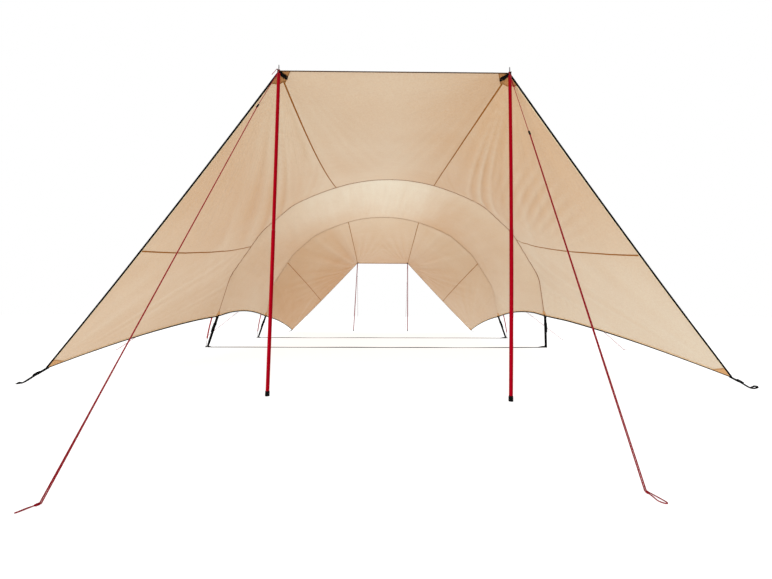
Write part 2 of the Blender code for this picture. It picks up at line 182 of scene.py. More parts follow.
def elbow_radius(angle, hem_radius):
    """Cloth radius at a height angle: round on top, then straight from elbow to elbow and to the hem."""
    if angle > pi / 2:
        angle = pi - angle
    if angle >= CENTRE_SEAM_ANGLE:
        return ARCH_TOP
    if angle >= SHOULDER[0]:
        share = (angle - SHOULDER[0]) / (CENTRE_SEAM_ANGLE - SHOULDER[0])
        return ARCH_TOP + (SHOULDER[1] - ARCH_TOP) * (1 - share) ** 2
    elbows = [SHOULDER, UPPER_ELBOW, TUCK, (HEM_ANGLE, hem_radius)]
    for (high, first), (low, second) in zip(elbows, elbows[1:]):
        if angle >= low:
            break
    angle = max(angle, HEM_ANGLE)
    return first * second * sin(high - low) / (first * sin(high - angle) + second * sin(angle - low))


def cloth_direction(u, end):
    """Direction from the tunnel's axis to the arch at u, with the cloth's turn round the arch."""
    angle = elevation(u) if u >= 0 else pi - elevation(u)
    angle += CLOTH_TURN[end] * (1 - smoothstep((abs(u) - 2) / (TUCK_U - 2)))
    return Vector((cos(angle), 0, sin(angle)))


def arch_point(u, end, soften=0.03):
    """The cloth under an arch, with its elbows rounded over an angle of about soften."""
    side = side_of(u)
    out = cloth_direction(u, end)
    angle = atan2(out.z, abs(out.x))
    hem_radius = ARCH_FEET[end, side][2]
    radii = [elbow_radius(angle + soften * k / 2, hem_radius) for k in (-2, -1, 0, 1, 2)]
    radius = sum(radii) / len(radii)
    drop = HEM_DROPS[end, side] * smoothstep((abs(u) - TUCK_U) / (3 - TUCK_U))
    return out * radius + Vector((0, ENDS[end] * ARCH_Y, -drop))


def edge_point(u, end):
    """The cloth on an end's free edge: level ridge, then a slope that bows in a little."""
    m = abs(u)
    side = side_of(u)
    peak = Vector((SIDES[side] * RIDGE_HALF[end], ENDS[end] * END_Y, PEAK_Z + POLE_RISES[end, side]))
    if m <= 1:
        lower, higher = POLE_RISES[end, "left"], POLE_RISES[end, "right"]
        return Vector((peak.x * m, peak.y, PEAK_Z + (lower * (1 - u) + higher * (1 + u)) / 2))
    share = (m - 1) * SIDE_SEAM_SHARE
    if m > 2:
        share = SIDE_SEAM_SHARE + (m - 2) * (1 - SIDE_SEAM_SHARE)
    corner = CORNERS[end, side]
    inward = Vector((corner.z - peak.z, 0, -abs(corner.x - peak.x))).normalized()
    inward.x *= SIDES[side]
    return peak.lerp(corner, share) + inward * EDGE_BOW * arc(share)


def sag(u):
    """How far an end bay's cloth sags between the arch and the free edge."""
    m = abs(u)
    if m <= 1:
        return CENTRE_SAG
    if m <= 2:
        return CENTRE_SAG + (SIDE_SAG - CENTRE_SAG) * smoothstep(m - 1)
    return SIDE_SAG * (1 - smoothstep(m - 2))


def hem_share(u):
    """1 at the hem, falling to 0 at the side seam."""
    return max(abs(u) - 2, 0) ** 2


def end_bay_point(u, reach, end):
    """Cloth between an arch (reach 0) and the free edge (reach 1) of one end."""
    soften = 0.03 + 0.3 * smoothstep(reach * 3)
    point = arch_point(u, end, soften).lerp(edge_point(u, end), reach)
    bow = arc(reach)
    point -= cloth_direction(u, end) * sag(u) * bow
    point.x -= CLOTH_DRIFT[end] * bow * (1 - smoothstep(abs(u) / 2 - 0.4))
    point.z += END_HEM_RISES[end, side_of(u)] * hem_share(u) * bow
    return point


def middle_point(u, share):
    """Cloth between the arches, from the front one (share -1) to the rear one (share 1)."""
    bow = 1 - share * share
    soften = 0.03 + 0.3 * bow
    point = arch_point(u, "front", soften).lerp(arch_point(u, "rear", soften), (1 + share) / 2)
    point -= cloth_direction(u, "rear") * MIDDLE_SAG * bow * (1 - hem_share(u))
    point.z += MIDDLE_HEM_RISES[side_of(u)] * hem_share(u) * bow
    return point


# Folds and wrinkles. Each gives how far the cloth stands out at a place, in metres.

# A fold that fans out from a peak: which part of the fan, its width there, and its height
FOLDS = each_corner(
    ((0.52, 0.035, 0.006), (0.61, 0.03, -0.008), (0.71, 0.04, 0.012), (0.86, 0.06, -0.010),
     (1.05, 0.07, 0.008), (1.35, 0.10, -0.008), (1.75, 0.15, 0.006)),
    ((0.36, 0.03, 0.007), (0.43, 0.03, -0.010), (0.51, 0.03, 0.013), (0.60, 0.035, -0.012),
     (0.70, 0.04, 0.009), (0.95, 0.08, -0.006), (1.4, 0.12, 0.005)),
    ((0.12, 0.04, 0.006), (0.30, 0.05, -0.007), (0.50, 0.05, 0.008), (0.75, 0.06, -0.006)),
    ((0.15, 0.04, -0.006), (0.33, 0.05, 0.007), (0.55, 0.06, -0.008), (0.80, 0.06, 0.006)),
)
# Creases that cross an upper panel from its centre seam down to the arch: where, and how closely they lie
CREASES = {("front", "left"): (0.36, 0.20, 17.0), ("front", "right"): (0.20, 0.12, 21.0)}


def peak_folds(u, reach, end):
    """Folds in the side panels that fan out from the peak, with finer streaks between them."""
    m = abs(u) - 1
    if m <= 0:
        return 0.0
    side = side_of(u)
    fan = m / (1.03 - reach)
    ends = smoothstep(m / 0.06) * smoothstep((1.12 - m) / 0.35) * smoothstep((1.03 - reach) / 0.12)
    height = sum(tall * hump(fan, place, width) for place, width, tall in FOLDS[end, side])
    fan_out = 0.35 + 0.65 * smoothstep((1 - reach) * 2.2)
    streaks = noise_at(fan * 13, reach * 1.2, SIDES[side] * 4 + ENDS[end])
    return ends * (height * fan_out + 0.003 * streaks * smoothstep((2.2 - fan) / 0.8))


def creases(u, reach, end):
    """Sharper creases inside the front upper panels, from the centre seam down and outward to the arch."""
    m = abs(u) - 1
    side = side_of(u)
    if m <= 0 or (end, side) not in CREASES:
        return 0.0
    middle, width, close = CREASES[end, side]
    place = m + 0.62 * reach
    here = hump(place, middle, width) * smoothstep(m / 0.04) * smoothstep((0.62 - m) / 0.25)
    wave = noise_at(place * close, reach * 1.4, 20.0) + 0.5 * sin(place * close * 4.5)
    return 0.0042 * here * wave * smoothstep((0.95 - reach) / 0.3)


def drag_lines(u, reach, end):
    """Slanting drag lines in the upper right panel of the front, between the shoulder and the slope."""
    if end != "front" or not 1 < u < 2.2:
        return 0.0
    along = reach + 1.9 * (u - 1)
    here = hump(reach, 0.70, 0.22) * hump(u, 1.60, 0.26) * smoothstep((1 - reach) * 6)
    return 0.007 * here * sin(along * 46 + 2.2 * noise_at(u * 3, reach * 3, 0))


def ridge_drags(u, reach, end):
    """Fine tension wrinkles that spread from the ends of a ridge, strongest at the rear."""
    if abs(u) > 2.4:
        return 0.0
    size = 0.005 if end == "rear" else 0.002
    away = (abs(u) - 1) / (1.08 - reach)
    wave = sin(away * 16 + 3 * noise_at(away * 2, 1.0, ENDS[end]))
    return size * wave * smoothstep(reach * 2.0) * smoothstep((1.04 - reach) * 5) * hump(away, 0, 2.2)


def corner_drags(u, reach, end):
    """Long soft wrinkles in the lower panels, drawn from the side seam towards the corner."""
    m = abs(u) - 2
    if m <= 0:
        return 0.0
    away = (1.04 - reach) / (1.12 - m)
    wave = noise_at(away * 9, m * 0.8, SIDES[side_of(u)] * 3 + ENDS[end])
    return 0.006 * wave * smoothstep(m * 4) * smoothstep((1.08 - m) * 3) * smoothstep((1.04 - reach) * 8)


def puckers(u, distance):
    """Small gathers at an arch seam, fading out with the distance from it."""
    if distance > 0.6:
        return 0.0
    strength = 0.6 + 0.6 * noise_at(u * 2.0, 5.0, 0)
    return 0.006 * strength * exp(-distance / 0.11) * noise_at(u * 24, 0, distance * 1.5)


def long_wrinkles(u, place):
    """Wrinkles along the tunnel in the middle panel, strongest over the crown."""
    crown = hump(u, 0, 1.3) + 0.3
    slant = u * 11 + place.y * 0.8
    slow = noise_at(slant, place.y * 0.9, 3.0)
    quick = noise_at(slant * 2.6, place.y * 1.8, 8.0)
    return crown * (0.007 * slow + 0.003 * quick)


def crumples(place):
    """Slack and storage creases all over, at several scales."""
    broad = noise.noise(place * 0.9) * 0.008
    small = noise.noise(place * 3.1 + Vector((7, 3, 1))) * 0.004
    tiny = noise.noise(place * 8.5 + Vector((2, 5, 8))) * 0.0013
    crease = abs(noise.noise(place * 5.5 + Vector((1, 9, 4))))
    return broad + small + tiny - 0.0022 * hump(crease, 0, 0.08)


def columns():
    """Every u across the tent, from the left hem to the right hem."""
    half = [k / CENTRE_COLUMNS for k in range(CENTRE_COLUMNS)]
    half += [1 + k / SIDE_COLUMNS for k in range(SIDE_COLUMNS)]
    half += [2 + k / HEM_COLUMNS for k in range(HEM_COLUMNS + 1)]
    return [-u for u in reversed(half[1:])] + half


def lattice_rows():
    """Every row from the front edge to the rear edge, as its bay and its place in that bay."""
    front = [("front", 1 - k / END_ROWS) for k in range(END_ROWS)]
    middle = [("middle", 2 * k / MIDDLE_ROWS - 1) for k in range(MIDDLE_ROWS + 1)]
    rear = [("rear", (k + 1) / END_ROWS) for k in range(END_ROWS)]
    return front + middle + rear


U = columns()
ROWS = lattice_rows()
FRONT_ARCH_ROW = END_ROWS
REAR_ARCH_ROW = END_ROWS + MIDDLE_ROWS
LAST_ROW = len(ROWS) - 1
LAST_COLUMN = len(U) - 1
# The row of each end's edge and the column of each hem, with the way inward from there
EDGES = {"front": (0, 1), "rear": (LAST_ROW, -1)}
HEM_LINES = {"left": (0, 1), "right": (LAST_COLUMN, -1)}
ARCH_ROWS = {"front": FRONT_ARCH_ROW, "rear": REAR_ARCH_ROW}


def base_and_relief(u, bay, share):
    """The plain surface, how far it stands out there in all, and the part of that that its folds make."""
    if bay == "middle":
        point = middle_point(u, share)
        from_arch = (1 - abs(share)) * ARCH_Y
        height = long_wrinkles(u, point) * smoothstep(from_arch * 5)
        held = smoothstep(from_arch / 0.15)
    else:
        point = end_bay_point(u, share, bay)
        from_arch = share * (END_Y - ARCH_Y)
        shapes = (peak_folds, creases, drag_lines, ridge_drags, corner_drags)
        height = sum(shape(u, share, bay) for shape in shapes) * smoothstep(from_arch / 0.12)
        held = smoothstep(from_arch / 0.15) * smoothstep((1.0 - share) * 8)
    near_hem = min((3 - abs(u)) * 4 + 0.15, 1)
    return point, (height + puckers(u, from_arch) + crumples(point) * held) * near_hem, height


def unit_normals(points):
    """Outward unit normals of a lattice of points."""
    across = np.gradient(points, axis=1)
    along = np.gradient(points, axis=0)
    normals = np.cross(across, along)
    normals /= np.linalg.norm(normals, axis=2, keepdims=True)
    return normals


def make_lattice():
    """The canopy's points and normals, row by row, and the height of its folds."""
    points = np.zeros((len(ROWS), len(U), 3))
    relief = np.zeros((len(ROWS), len(U), 1))
    folds = np.zeros((len(ROWS), len(U)))
    for i, (bay, share) in enumerate(ROWS):
        for j, u in enumerate(U):
            points[i, j], relief[i, j], folds[i, j] = base_and_relief(u, bay, share)
    points = points + unit_normals(points) * (relief + SHEET_LIFT)
    for i in range(len(ROWS)):
        for j in range(len(U)):
            points[i, j] = pitched(points[i, j])
    return points, unit_normals(points), folds


POINTS, NORMALS, FOLD_HEIGHTS = make_lattice()


def on_cloth(row, column, lift=0.0):
    """A place on the canopy at a fractional row and column, lifted off it along its normal."""
    row = min(max(row, 0), LAST_ROW)
    column = min(max(column, 0), LAST_COLUMN)
    i = min(int(row), LAST_ROW - 1)
    j = min(int(column), LAST_COLUMN - 1)
    a = row - i
    b = column - j
    weights = ((i, j, (1 - a) * (1 - b)), (i + 1, j, a * (1 - b)),
               (i, j + 1, (1 - a) * b), (i + 1, j + 1, a * b))
    point = sum(POINTS[r, c] * w for r, c, w in weights)
    normal = sum(NORMALS[r, c] * w for r, c, w in weights)
    return Vector(point + normal * lift)


def column_of(u):
    """The fractional column of a place across the tent."""
    m = abs(u)
    steps = min(m, 1) * CENTRE_COLUMNS
    steps += min(max(m - 1, 0), 1) * SIDE_COLUMNS
    steps += max(m - 2, 0) * HEM_COLUMNS
    return LAST_COLUMN / 2 + (steps if u >= 0 else -steps)


def columns_in(row, column, metres):
    """How many columns make up a length across the tent at a place."""
    step = 1 if column < LAST_COLUMN / 2 else -1
    return metres / (on_cloth(row, column + step) - on_cloth(row, column)).length


def rows_in(row, column, metres):
    """How many rows make up a length along the tent at a place."""
    step = 1 if row < LAST_ROW / 2 else -1
    return metres / (on_cloth(row + step, column) - on_cloth(row, column)).length


# Materials

def new_material(name, colour, roughness, metallic=0.0, specular=0.5):
    """A material with the values that are the same all over set on its Principled shader."""
    material = bpy.data.materials.new(name)
    material.use_nodes = True
    shader = material.node_tree.nodes["Principled BSDF"]
    shader.inputs["Base Color"].default_value = (*colour, 1)
    shader.inputs["Roughness"].default_value = roughness
    shader.inputs["Metallic"].default_value = metallic
    shader.inputs["Specular IOR Level"].default_value = specular
    return material, material.node_tree, shader


def add_node(tree, kind, inputs=None, **settings):
    """A shader node with its settings, its input values and its incoming links."""
    item = tree.nodes.new("ShaderNode" + kind)
    for name, value in settings.items():
        setattr(item, name, value)
    for name, value in (inputs or {}).items():
        if isinstance(value, bpy.types.NodeSocket):
            tree.links.new(value, item.inputs[name])
        else:
            item.inputs[name].default_value = value
    return item


def math_node(tree, operation, first, second=0.5):
    return add_node(tree, "Math", {0: first, 1: second}, operation=operation).outputs[0]


def times(tree, first, second):
    return math_node(tree, "MULTIPLY", first, second)


def sine(tree, value):
    return math_node(tree, "SINE", value)


def uv_parts(tree, name):
    """The two parts of a UV map: in "cloth" metres along and across, in "across" the share across."""
    place = add_node(tree, "UVMap", uv_map=name).outputs[0]
    parts = add_node(tree, "SeparateXYZ", {0: place}).outputs
    return parts[0], parts[1]


def mix_colours(tree, share, first, second):
    """A colour that goes from first to second. Each is a colour or a socket."""
    item = add_node(tree, "Mix", data_type="RGBA")
    tree.links.new(share, item.inputs[0])
    for socket, value in ((item.inputs[6], first), (item.inputs[7], second)):
        if isinstance(value, bpy.types.NodeSocket):
            tree.links.new(value, socket)
        else:
            socket.default_value = (*value, 1)
    return item.outputs[2]


def noise_of(tree, scale, detail=3.0, distortion=0.0, place=None):
    """A noise texture in object space, or at a given place."""
    if place is None:
        place = add_node(tree, "TexCoord").outputs["Object"]
    inputs = {"Vector": place, "Scale": scale, "Detail": detail, "Distortion": distortion}
    return add_node(tree, "TexNoise", inputs).outputs[0]


def spread(tree, value, low, high):
    """Stretches a value so that low becomes 0 and high becomes 1."""
    inputs = {"Value": value, "From Min": low, "From Max": high}
    return add_node(tree, "MapRange", inputs).outputs[0]


def weave_height(tree, thread):
    """Over and under threads of a plain weave, from the piece's own length and width in metres."""
    waves = [sine(tree, times(tree, part, pi / thread)) for part in uv_parts(tree, "cloth")]
    return times(tree, *waves)


def bump_of(tree, height, distance, strength=1.0, normal=None):
    inputs = {"Height": height, "Distance": distance, "Strength": strength}
    if normal is not None:
        inputs["Normal"] = normal
    return add_node(tree, "Bump", inputs).outputs[0]


def dress(tree, shader, colour, normal):
    """Lead a colour and a normal into a shader."""
    tree.links.new(colour, shader.inputs["Base Color"])
    tree.links.new(normal, shader.inputs["Normal"])


def translucent_cloth(name, light, dark, glow, through, sheen, gloss):
    """Woven cloth that lets light through. light and dark are its shades, glow the light through it."""
    material, tree, shader = new_material(name, light, 0.46, specular=gloss)
    shader.inputs["Sheen Weight"].default_value = sheen
    shader.inputs["Sheen Roughness"].default_value = 0.3
    broad = spread(tree, noise_of(tree, 0.55, 4.0, 0.4), 0.3, 0.7)
    slubs = spread(tree, noise_of(tree, 90, 2.0), 0.2, 1.6)
    speckled = mix_colours(tree, slubs, mix_colours(tree, broad, light, dark), dark)
    wrinkles = noise_of(tree, 7, 5.0, 1.4)
    fine = times(tree, noise_of(tree, 34, 3.0, 0.6), 0.25)
    normal = bump_of(tree, math_node(tree, "ADD", wrinkles, fine), 0.006, 0.55)
    normal = bump_of(tree, weave_height(tree, 0.0011), 0.00012, 0.6, normal)
    dress(tree, shader, speckled, normal)
    glow_shade = mix_colours(tree, broad, glow, tuple(c * 0.93 for c in glow))
    passing = add_node(tree, "BsdfTranslucent", {"Color": glow_shade, "Normal": normal})
    both = add_node(tree, "MixShader", {0: through, 1: shader.outputs[0], 2: passing.outputs[0]})
    tree.links.new(both.outputs[0], tree.nodes["Material Output"].inputs["Surface"])
    return material


def canopy_cloth(name, deep, pale, through):
    """The canopy's cloth: lighter or darker by its shade map, which holds painted light and shade, with
    streaks that fan out from the peaks.
    """
    material = translucent_cloth(name, pale, deep, deep, through, 0.2, 0.6)
    tree = material.node_tree
    shader = tree.nodes["Principled BSDF"]
    passing = tree.nodes["Translucent BSDF"]
    # The shade map's first part is painted light and shade, which mixes the cloth from its deep tone to its
    # pale one.
    painted_light, streaked = uv_parts(tree, "shade")
    patches = spread(tree, noise_of(tree, 1.6, 4.0, 0.6), 0.3, 0.7)
    patchy = math_node(tree, "MULTIPLY_ADD", patches, 0.10)
    patchy.node.inputs[2].default_value = -0.05
    shade = mix_colours(tree, math_node(tree, "ADD", painted_light, patchy), deep, pale)
    shade.node.clamp_factor = False
    slubs = spread(tree, noise_of(tree, 90, 2.0), 0.2, 1.6)
    turn, away = uv_parts(tree, "fan")
    stretched = add_node(tree, "CombineXYZ", {0: turn, 1: times(tree, away, 0.06)}).outputs[0]
    streaks = noise_of(tree, 6, 4.0, 0.3, stretched)
    height = times(tree, times(tree, streaks, away), streaked)
    normal = bump_of(tree, height, 0.035, 1.0, shader.inputs["Normal"].links[0].from_socket)
    dress(tree, shader, mix_colours(tree, slubs, shade, deep), normal)
    tree.links.new(shade, passing.inputs["Color"])
    tree.links.new(normal, passing.inputs["Normal"])
    return material


def stitched_cloth(name, light, dark, glow, through, rows):
    """Seam or hem cloth with rows of stitches, each at its share across the band."""
    material = translucent_cloth(name, light, dark, glow, through, 0.0, 0.03)
    tree = material.node_tree
    shader = tree.nodes["Principled BSDF"]
    along = uv_parts(tree, "cloth")[0]
    share = uv_parts(tree, "across")[1]
    stitches = math_node(tree, "FRACT", times(tree, along, 1 / 0.0035))
    thread = None
    for row in rows:
        apart = math_node(tree, "ABSOLUTE", math_node(tree, "SUBTRACT", share, row))
        near = math_node(tree, "LESS_THAN", apart, 0.05)
        thread = near if thread is None else math_node(tree, "MAXIMUM", thread, near)
    thread = times(tree, thread, math_node(tree, "LESS_THAN", stitches, 0.72))
    plain = shader.inputs["Base Color"].links[0].from_socket
    stitched = mix_colours(tree, thread, plain, tuple(c * 0.55 for c in dark))
    tree.links.new(stitched, shader.inputs["Base Color"])
    return material


def webbing_material(name, colour, paler):
    """Woven webbing with ribs along it and a chevron of threads across."""
    material, tree, shader = new_material(name, colour, 0.7, specular=0.01)
    along, across = uv_parts(tree, "cloth")
    ribs = sine(tree, times(tree, across, tau / 0.0022))
    slant = math_node(tree, "ADD", times(tree, ribs, 0.0006), along)
    height = math_node(tree, "ADD", ribs, sine(tree, times(tree, slant, tau / 0.0014)))
    shade = mix_colours(tree, spread(tree, height, -2.0, 2.6), colour, paler)
    dust = spread(tree, noise_of(tree, 45, 3.0), 0.45, 1.5)
    dress(tree, shader, mix_colours(tree, dust, shade, paler), bump_of(tree, height, 0.0002, 0.7))
    return material


def cord_material(name, colour, fleck):
    """Braided cord with a slanting braid and a paler tracer thread that winds round it."""
    material, tree, shader = new_material(name, colour, 0.6, specular=0.05)
    along, across = uv_parts(tree, "cloth")
    forward = times(tree, along, tau / 0.0030)
    turn = times(tree, across, 1 / CORD_RADIUS)
    wound = times(tree, turn, 3.0)
    strands = [sine(tree, math_node(tree, way, forward, wound)) for way in ("ADD", "SUBTRACT")]
    braid = times(tree, *strands)
    tracer = sine(tree, math_node(tree, "ADD", times(tree, along, tau / 0.014), turn))
    share = times(tree, spread(tree, tracer, 0.55, 0.8), spread(tree, braid, -0.6, 0.4))
    dress(tree, shader, mix_colours(tree, share, colour, fleck), bump_of(tree, braid, 0.0003, 0.8))
    return material


def painted_metal(name, colour, darker):
    """Satin anodised tube, with a faint draw texture and small variations of gloss."""
    material, tree, shader = new_material(name, colour, 0.42, 0.3, 0.12)
    shader.inputs["Specular Tint"].default_value = (0.9, 0.1, 0.12, 1)
    grain = noise_of(tree, 60, 3.0)
    shade = mix_colours(tree, spread(tree, grain, 0.3, 0.8), colour, darker)
    dress(tree, shader, shade, bump_of(tree, grain, 0.0001, 0.25))
    gloss = add_node(tree, "MapRange", {"Value": noise_of(tree, 14, 4.0), "To Min": 0.36, "To Max": 0.5})
    tree.links.new(gloss.outputs[0], shader.inputs["Roughness"])
    return material


def bare_metal(name, colour, roughness):
    """Satin metal with fine brushing round it."""
    material, tree, shader = new_material(name, colour, roughness, 1.0)
    stretch = add_node(tree, "Mapping", {"Vector": add_node(tree, "TexCoord").outputs["Object"]})
    stretch.inputs["Scale"].default_value = (40, 40, 900)
    brushing = noise_of(tree, 1.0, 2.0, place=stretch.outputs[0])
    limits = {"Value": brushing, "To Min": roughness - 0.08, "To Max": roughness + 0.14}
    tree.links.new(add_node(tree, "MapRange", limits).outputs[0], shader.inputs["Roughness"])
    tree.links.new(bump_of(tree, brushing, 0.00008, 0.4), shader.inputs["Normal"])
    return material


def moulded_plastic(name, colour):
    """Matte moulded plastic with a fine grain."""
    material, tree, shader = new_material(name, colour, 0.5, specular=0.02)
    worn = spread(tree, noise_of(tree, 120, 4.0), 0.5, 0.9)
    shade = mix_colours(tree, worn, colour, tuple(c * 2.2 + 0.003 for c in colour))
    dress(tree, shader, shade, bump_of(tree, noise_of(tree, 900, 2.0), 0.00006, 0.5))
    return material


# Each stitched cloth's light, dark and glowing shade, how much light it lets through, and its stitch rows
SEAM_ROWS = (0.2, 0.8)
PATCH_ROWS = (0.07, 0.93)
# The canopy's deep and pale tones are the shaded and lit ends of its painted light and shade.
CLOTH = canopy_cloth("canopy_cloth", (0.4685, 0.2226, 0.0587), (0.681, 0.586, 0.444), 0.3)
SEAM = stitched_cloth(
    "seam_cloth", (0.40, 0.157, 0.024), (0.36, 0.137, 0.020), (0.34, 0.125, 0.022), 0.25, SEAM_ROWS)
# The front arch's seam: a real stitched seam, painted darker as the shadow that its sleeve and pole cast
# through the cloth.
ARCH_SEAM_AND_SHADOW = stitched_cloth(
    "arch_seam_and_shadow_cloth", (0.30, 0.085, 0.008), (0.27, 0.075, 0.006), (0.25, 0.070, 0.008), 0.2, SEAM_ROWS)
PALE_SEAM = stitched_cloth(
    "pale_seam_cloth", (0.74, 0.56, 0.36), (0.70, 0.52, 0.33), (0.66, 0.49, 0.31), 0.3, SEAM_ROWS)
HEM = stitched_cloth("hem_cloth", (0.95, 0.75, 0.49), (0.91, 0.70, 0.45), (0.88, 0.66, 0.41), 0.35, (0.85,))
SLOPE_HEM = stitched_cloth(
    "slope_hem_cloth", (0.98, 0.88, 0.62), (0.94, 0.83, 0.57), (0.92, 0.80, 0.55), 0.35, (0.5,))
PATCH = stitched_cloth(
    "patch_cloth", (0.58, 0.30, 0.12), (0.52, 0.26, 0.095), (0.46, 0.23, 0.09), 0.3, PATCH_ROWS)
PALE_PATCH = stitched_cloth(
    "pale_patch_cloth", (0.84, 0.50, 0.23), (0.76, 0.44, 0.19), (0.70, 0.40, 0.17), 0.3, PATCH_ROWS)
SLEEVE = stitched_cloth(
    "sleeve_cloth", (0.62, 0.42, 0.25), (0.56, 0.37, 0.21), (0.5, 0.34, 0.2), 0.25, (0.08, 0.92))
BLACK_WEBBING = webbing_material("black_webbing", (0.0015, 0.0015, 0.0018), (0.006, 0.006, 0.0065))
BINDING = webbing_material("hem_binding", (0.010, 0.006, 0.004), (0.020, 0.013, 0.009))
BROWN_WEBBING = webbing_material("brown_webbing", (0.045, 0.022, 0.011), (0.075, 0.042, 0.024))
TAN_WEBBING = webbing_material("tan_webbing", (0.26, 0.105, 0.040), (0.34, 0.15, 0.07))
RED_CORD = cord_material("red_cord", (0.22, 0.001, 0.008), (0.42, 0.08, 0.08))
RED_POLE = painted_metal("red_pole", (0.29, 0.0, 0.007), (0.24, 0.0, 0.005))
ALUMINIUM = bare_metal("bare_aluminium", (0.40, 0.40, 0.41), 0.32)
STEEL = bare_metal("steel", (0.20, 0.19, 0.195), 0.36)
PLASTIC = moulded_plastic("black_plastic", (0.003, 0.003, 0.0033))


# Making pieces


def add_piece(name, bm, material, replaces=(), sharp_angle=40, closed=True):
    """Turn a bmesh into a piece that rides on the frame. All faces of a closed one are turned outward."""
    if closed:
        bmesh.ops.recalc_face_normals(bm, faces=bm.faces)
    mesh = bpy.data.meshes.new(name)
    bm.to_mesh(mesh)
    bm.free()
    mesh.materials.append(material)
    mesh.shade_smooth()
    mesh.set_sharp_from_angle(angle=radians(sharp_angle))
    item = bpy.data.objects.new(name, mesh)
    bpy.context.scene.collection.objects.link(item)
    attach(item, "root")
    if replaces:
        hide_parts(*replaces)
    return item


def uv_layers(bm):
    """The two maps that the cloth materials read: metres on the cloth, and share across a band."""
    return bm.loops.layers.uv.new("cloth"), bm.loops.layers.uv.new("across")


def add_face(bm, corners, places, layers):
    """A face whose corners have a place in metres and a share across."""
    face = bm.faces.new(corners)
    metres, share = layers
    for loop, (length, width, across) in zip(face.loops, places):
        loop[metres].uv = (length, width)
        loop[share].uv = (0, across)
    return face


def add_quads(bm, rings, length, girth, layers):
    """Skin neighbouring rings, with the length to each ring and the girth to each point of a ring."""
    count = len(girth) - 1
    for i in range(len(rings) - 1):
        for k in range(count):
            following = (k + 1) % len(rings[i])
            corners = (rings[i][k], rings[i][following], rings[i + 1][following], rings[i + 1][k])
            low, high = k / count, (k + 1) / count
            places = ((length[i], girth[k], low), (length[i], girth[k + 1], high),
                      (length[i + 1], girth[k + 1], high), (length[i + 1], girth[k], low))
            add_face(bm, corners, places, layers)


def lengths_along(points):
    """The distance from the first point to each point, along all of them."""
    length = [0.0]
    for here, after in zip(points, points[1:]):
        length.append(length[-1] + (after - here).length)
    return length


def swept(bm, path, sections, layers):
    """Skin a closed cross-section along a path. sections has one ring of points for each path point."""
    rings = [[bm.verts.new(point) for point in ring] for ring in sections]
    girth = lengths_along(sections[0] + sections[0][:1])
    add_quads(bm, rings, lengths_along(path), girth, layers)
    bm.faces.new(rings[0][::-1])
    bm.faces.new(rings[-1])


def directions(path):
    """Unit tangents along a path."""
    padded = [path[0], *path, path[-1]]
    return [(after - before).normalized() for before, after in zip(padded, padded[2:])]


def square_to(axis, direction):
    """The part of a direction that is square to an axis, as a unit vector."""
    return (direction - axis * direction.dot(axis)).normalized()


def facing(direction, way):
    """A direction, or its opposite where that points more towards a given way."""
    return direction if direction.dot(way) >= 0 else -direction


def for_each(value, path):
    """One value for each point of a path, from a list of them or from a single one."""
    return value if isinstance(value, list) else [value] * len(path)


def ellipse(centre, side, up, sides):
    """Points round an ellipse with the half axes side and up."""
    turns = [tau * k / sides for k in range(sides)]
    return [centre + side * cos(turn) + up * sin(turn) for turn in turns]


def rolling_frames(path):
    """Side and up directions that don't twist along the path."""
    tangents = directions(path)
    side = tangents[0].orthogonal().normalized()
    frames = []
    for before, tangent in zip(tangents[:1] + tangents, tangents):
        side = square_to(tangent, before.rotation_difference(tangent) @ side)
        frames.append((side, side.cross(tangent).normalized()))
    return frames


def tube(name, path, radii, material, sides, replaces=()):
    """A round tube along a path, with a radius for each point or one for all."""
    sections = []
    for point, (side, up), radius in zip(path, rolling_frames(path), for_each(radii, path)):
        sections.append(ellipse(point, side * radius, up * radius, sides))
    bm = bmesh.new()
    swept(bm, path, sections, uv_layers(bm))
    return add_piece(name, bm, material, replaces)


def turned(name, base, axis, profile, material, sides=24, replaces=()):
    """A turned piece: profile has pairs of a distance along the axis and a radius."""
    path = [base + axis * along for along, _ in profile]
    side = axis.orthogonal().normalized()
    up = axis.cross(side)
    sections = []
    for point, (_, radius) in zip(path, profile):
        sections.append(ellipse(point, side * radius, up * radius, sides))
    bm = bmesh.new()
    swept(bm, path, sections, uv_layers(bm))
    return add_piece(name, bm, material, replaces, sharp_angle=35)


def smooth_path(points, steps=8):
    """A smooth curve through given points."""
    padded = [points[0] * 2 - points[1]] + list(points) + [points[-1] * 2 - points[-2]]
    path = []
    for p0, p1, p2, p3 in zip(padded, padded[1:], padded[2:], padded[3:]):
        for k in range(steps):
            t = k / steps
            path.append(0.5 * (2 * p1 + (p2 - p0) * t + (2 * p0 - 5 * p1 + 4 * p2 - p3) * t * t
                               + (3 * p1 - p0 - 3 * p2 + p3) * t ** 3))
    return path + [points[-1].copy()]


def strap_outline(width, thick):
    """Cross-section of webbing with its edges taken off."""
    wide, tall = width / 2, thick / 2
    cut = thick * 0.35
    return ((-wide, cut - tall), (cut - wide, -tall), (wide - cut, -tall), (wide, cut - tall),
            (wide, tall - cut), (wide - cut, tall), (cut - wide, tall), (-wide, tall - cut))


def strap_into(bm, layers, path, sides, widths, thick):
    """Flat webbing along a path, with the direction across it and its width at each point or for all."""
    shape = zip(path, directions(path), for_each(sides, path), for_each(widths, path))
    sections = []
    for point, tangent, side, width in shape:
        side = square_to(tangent, side)
        up = side.cross(tangent).normalized()
        sections.append([point + side * a + up * b for a, b in strap_outline(width, thick)])
    swept(bm, path, sections, layers)


def webbing(name, strips, widths, thick, material, replaces=()):
    """One piece of flat webbing. Each of its strips is a path and the direction or directions across it."""
    bm = bmesh.new()
    layers = uv_layers(bm)
    for path, sides in strips:
        strap_into(bm, layers, path, sides, widths, thick)
    return add_piece(name, bm, material, replaces)


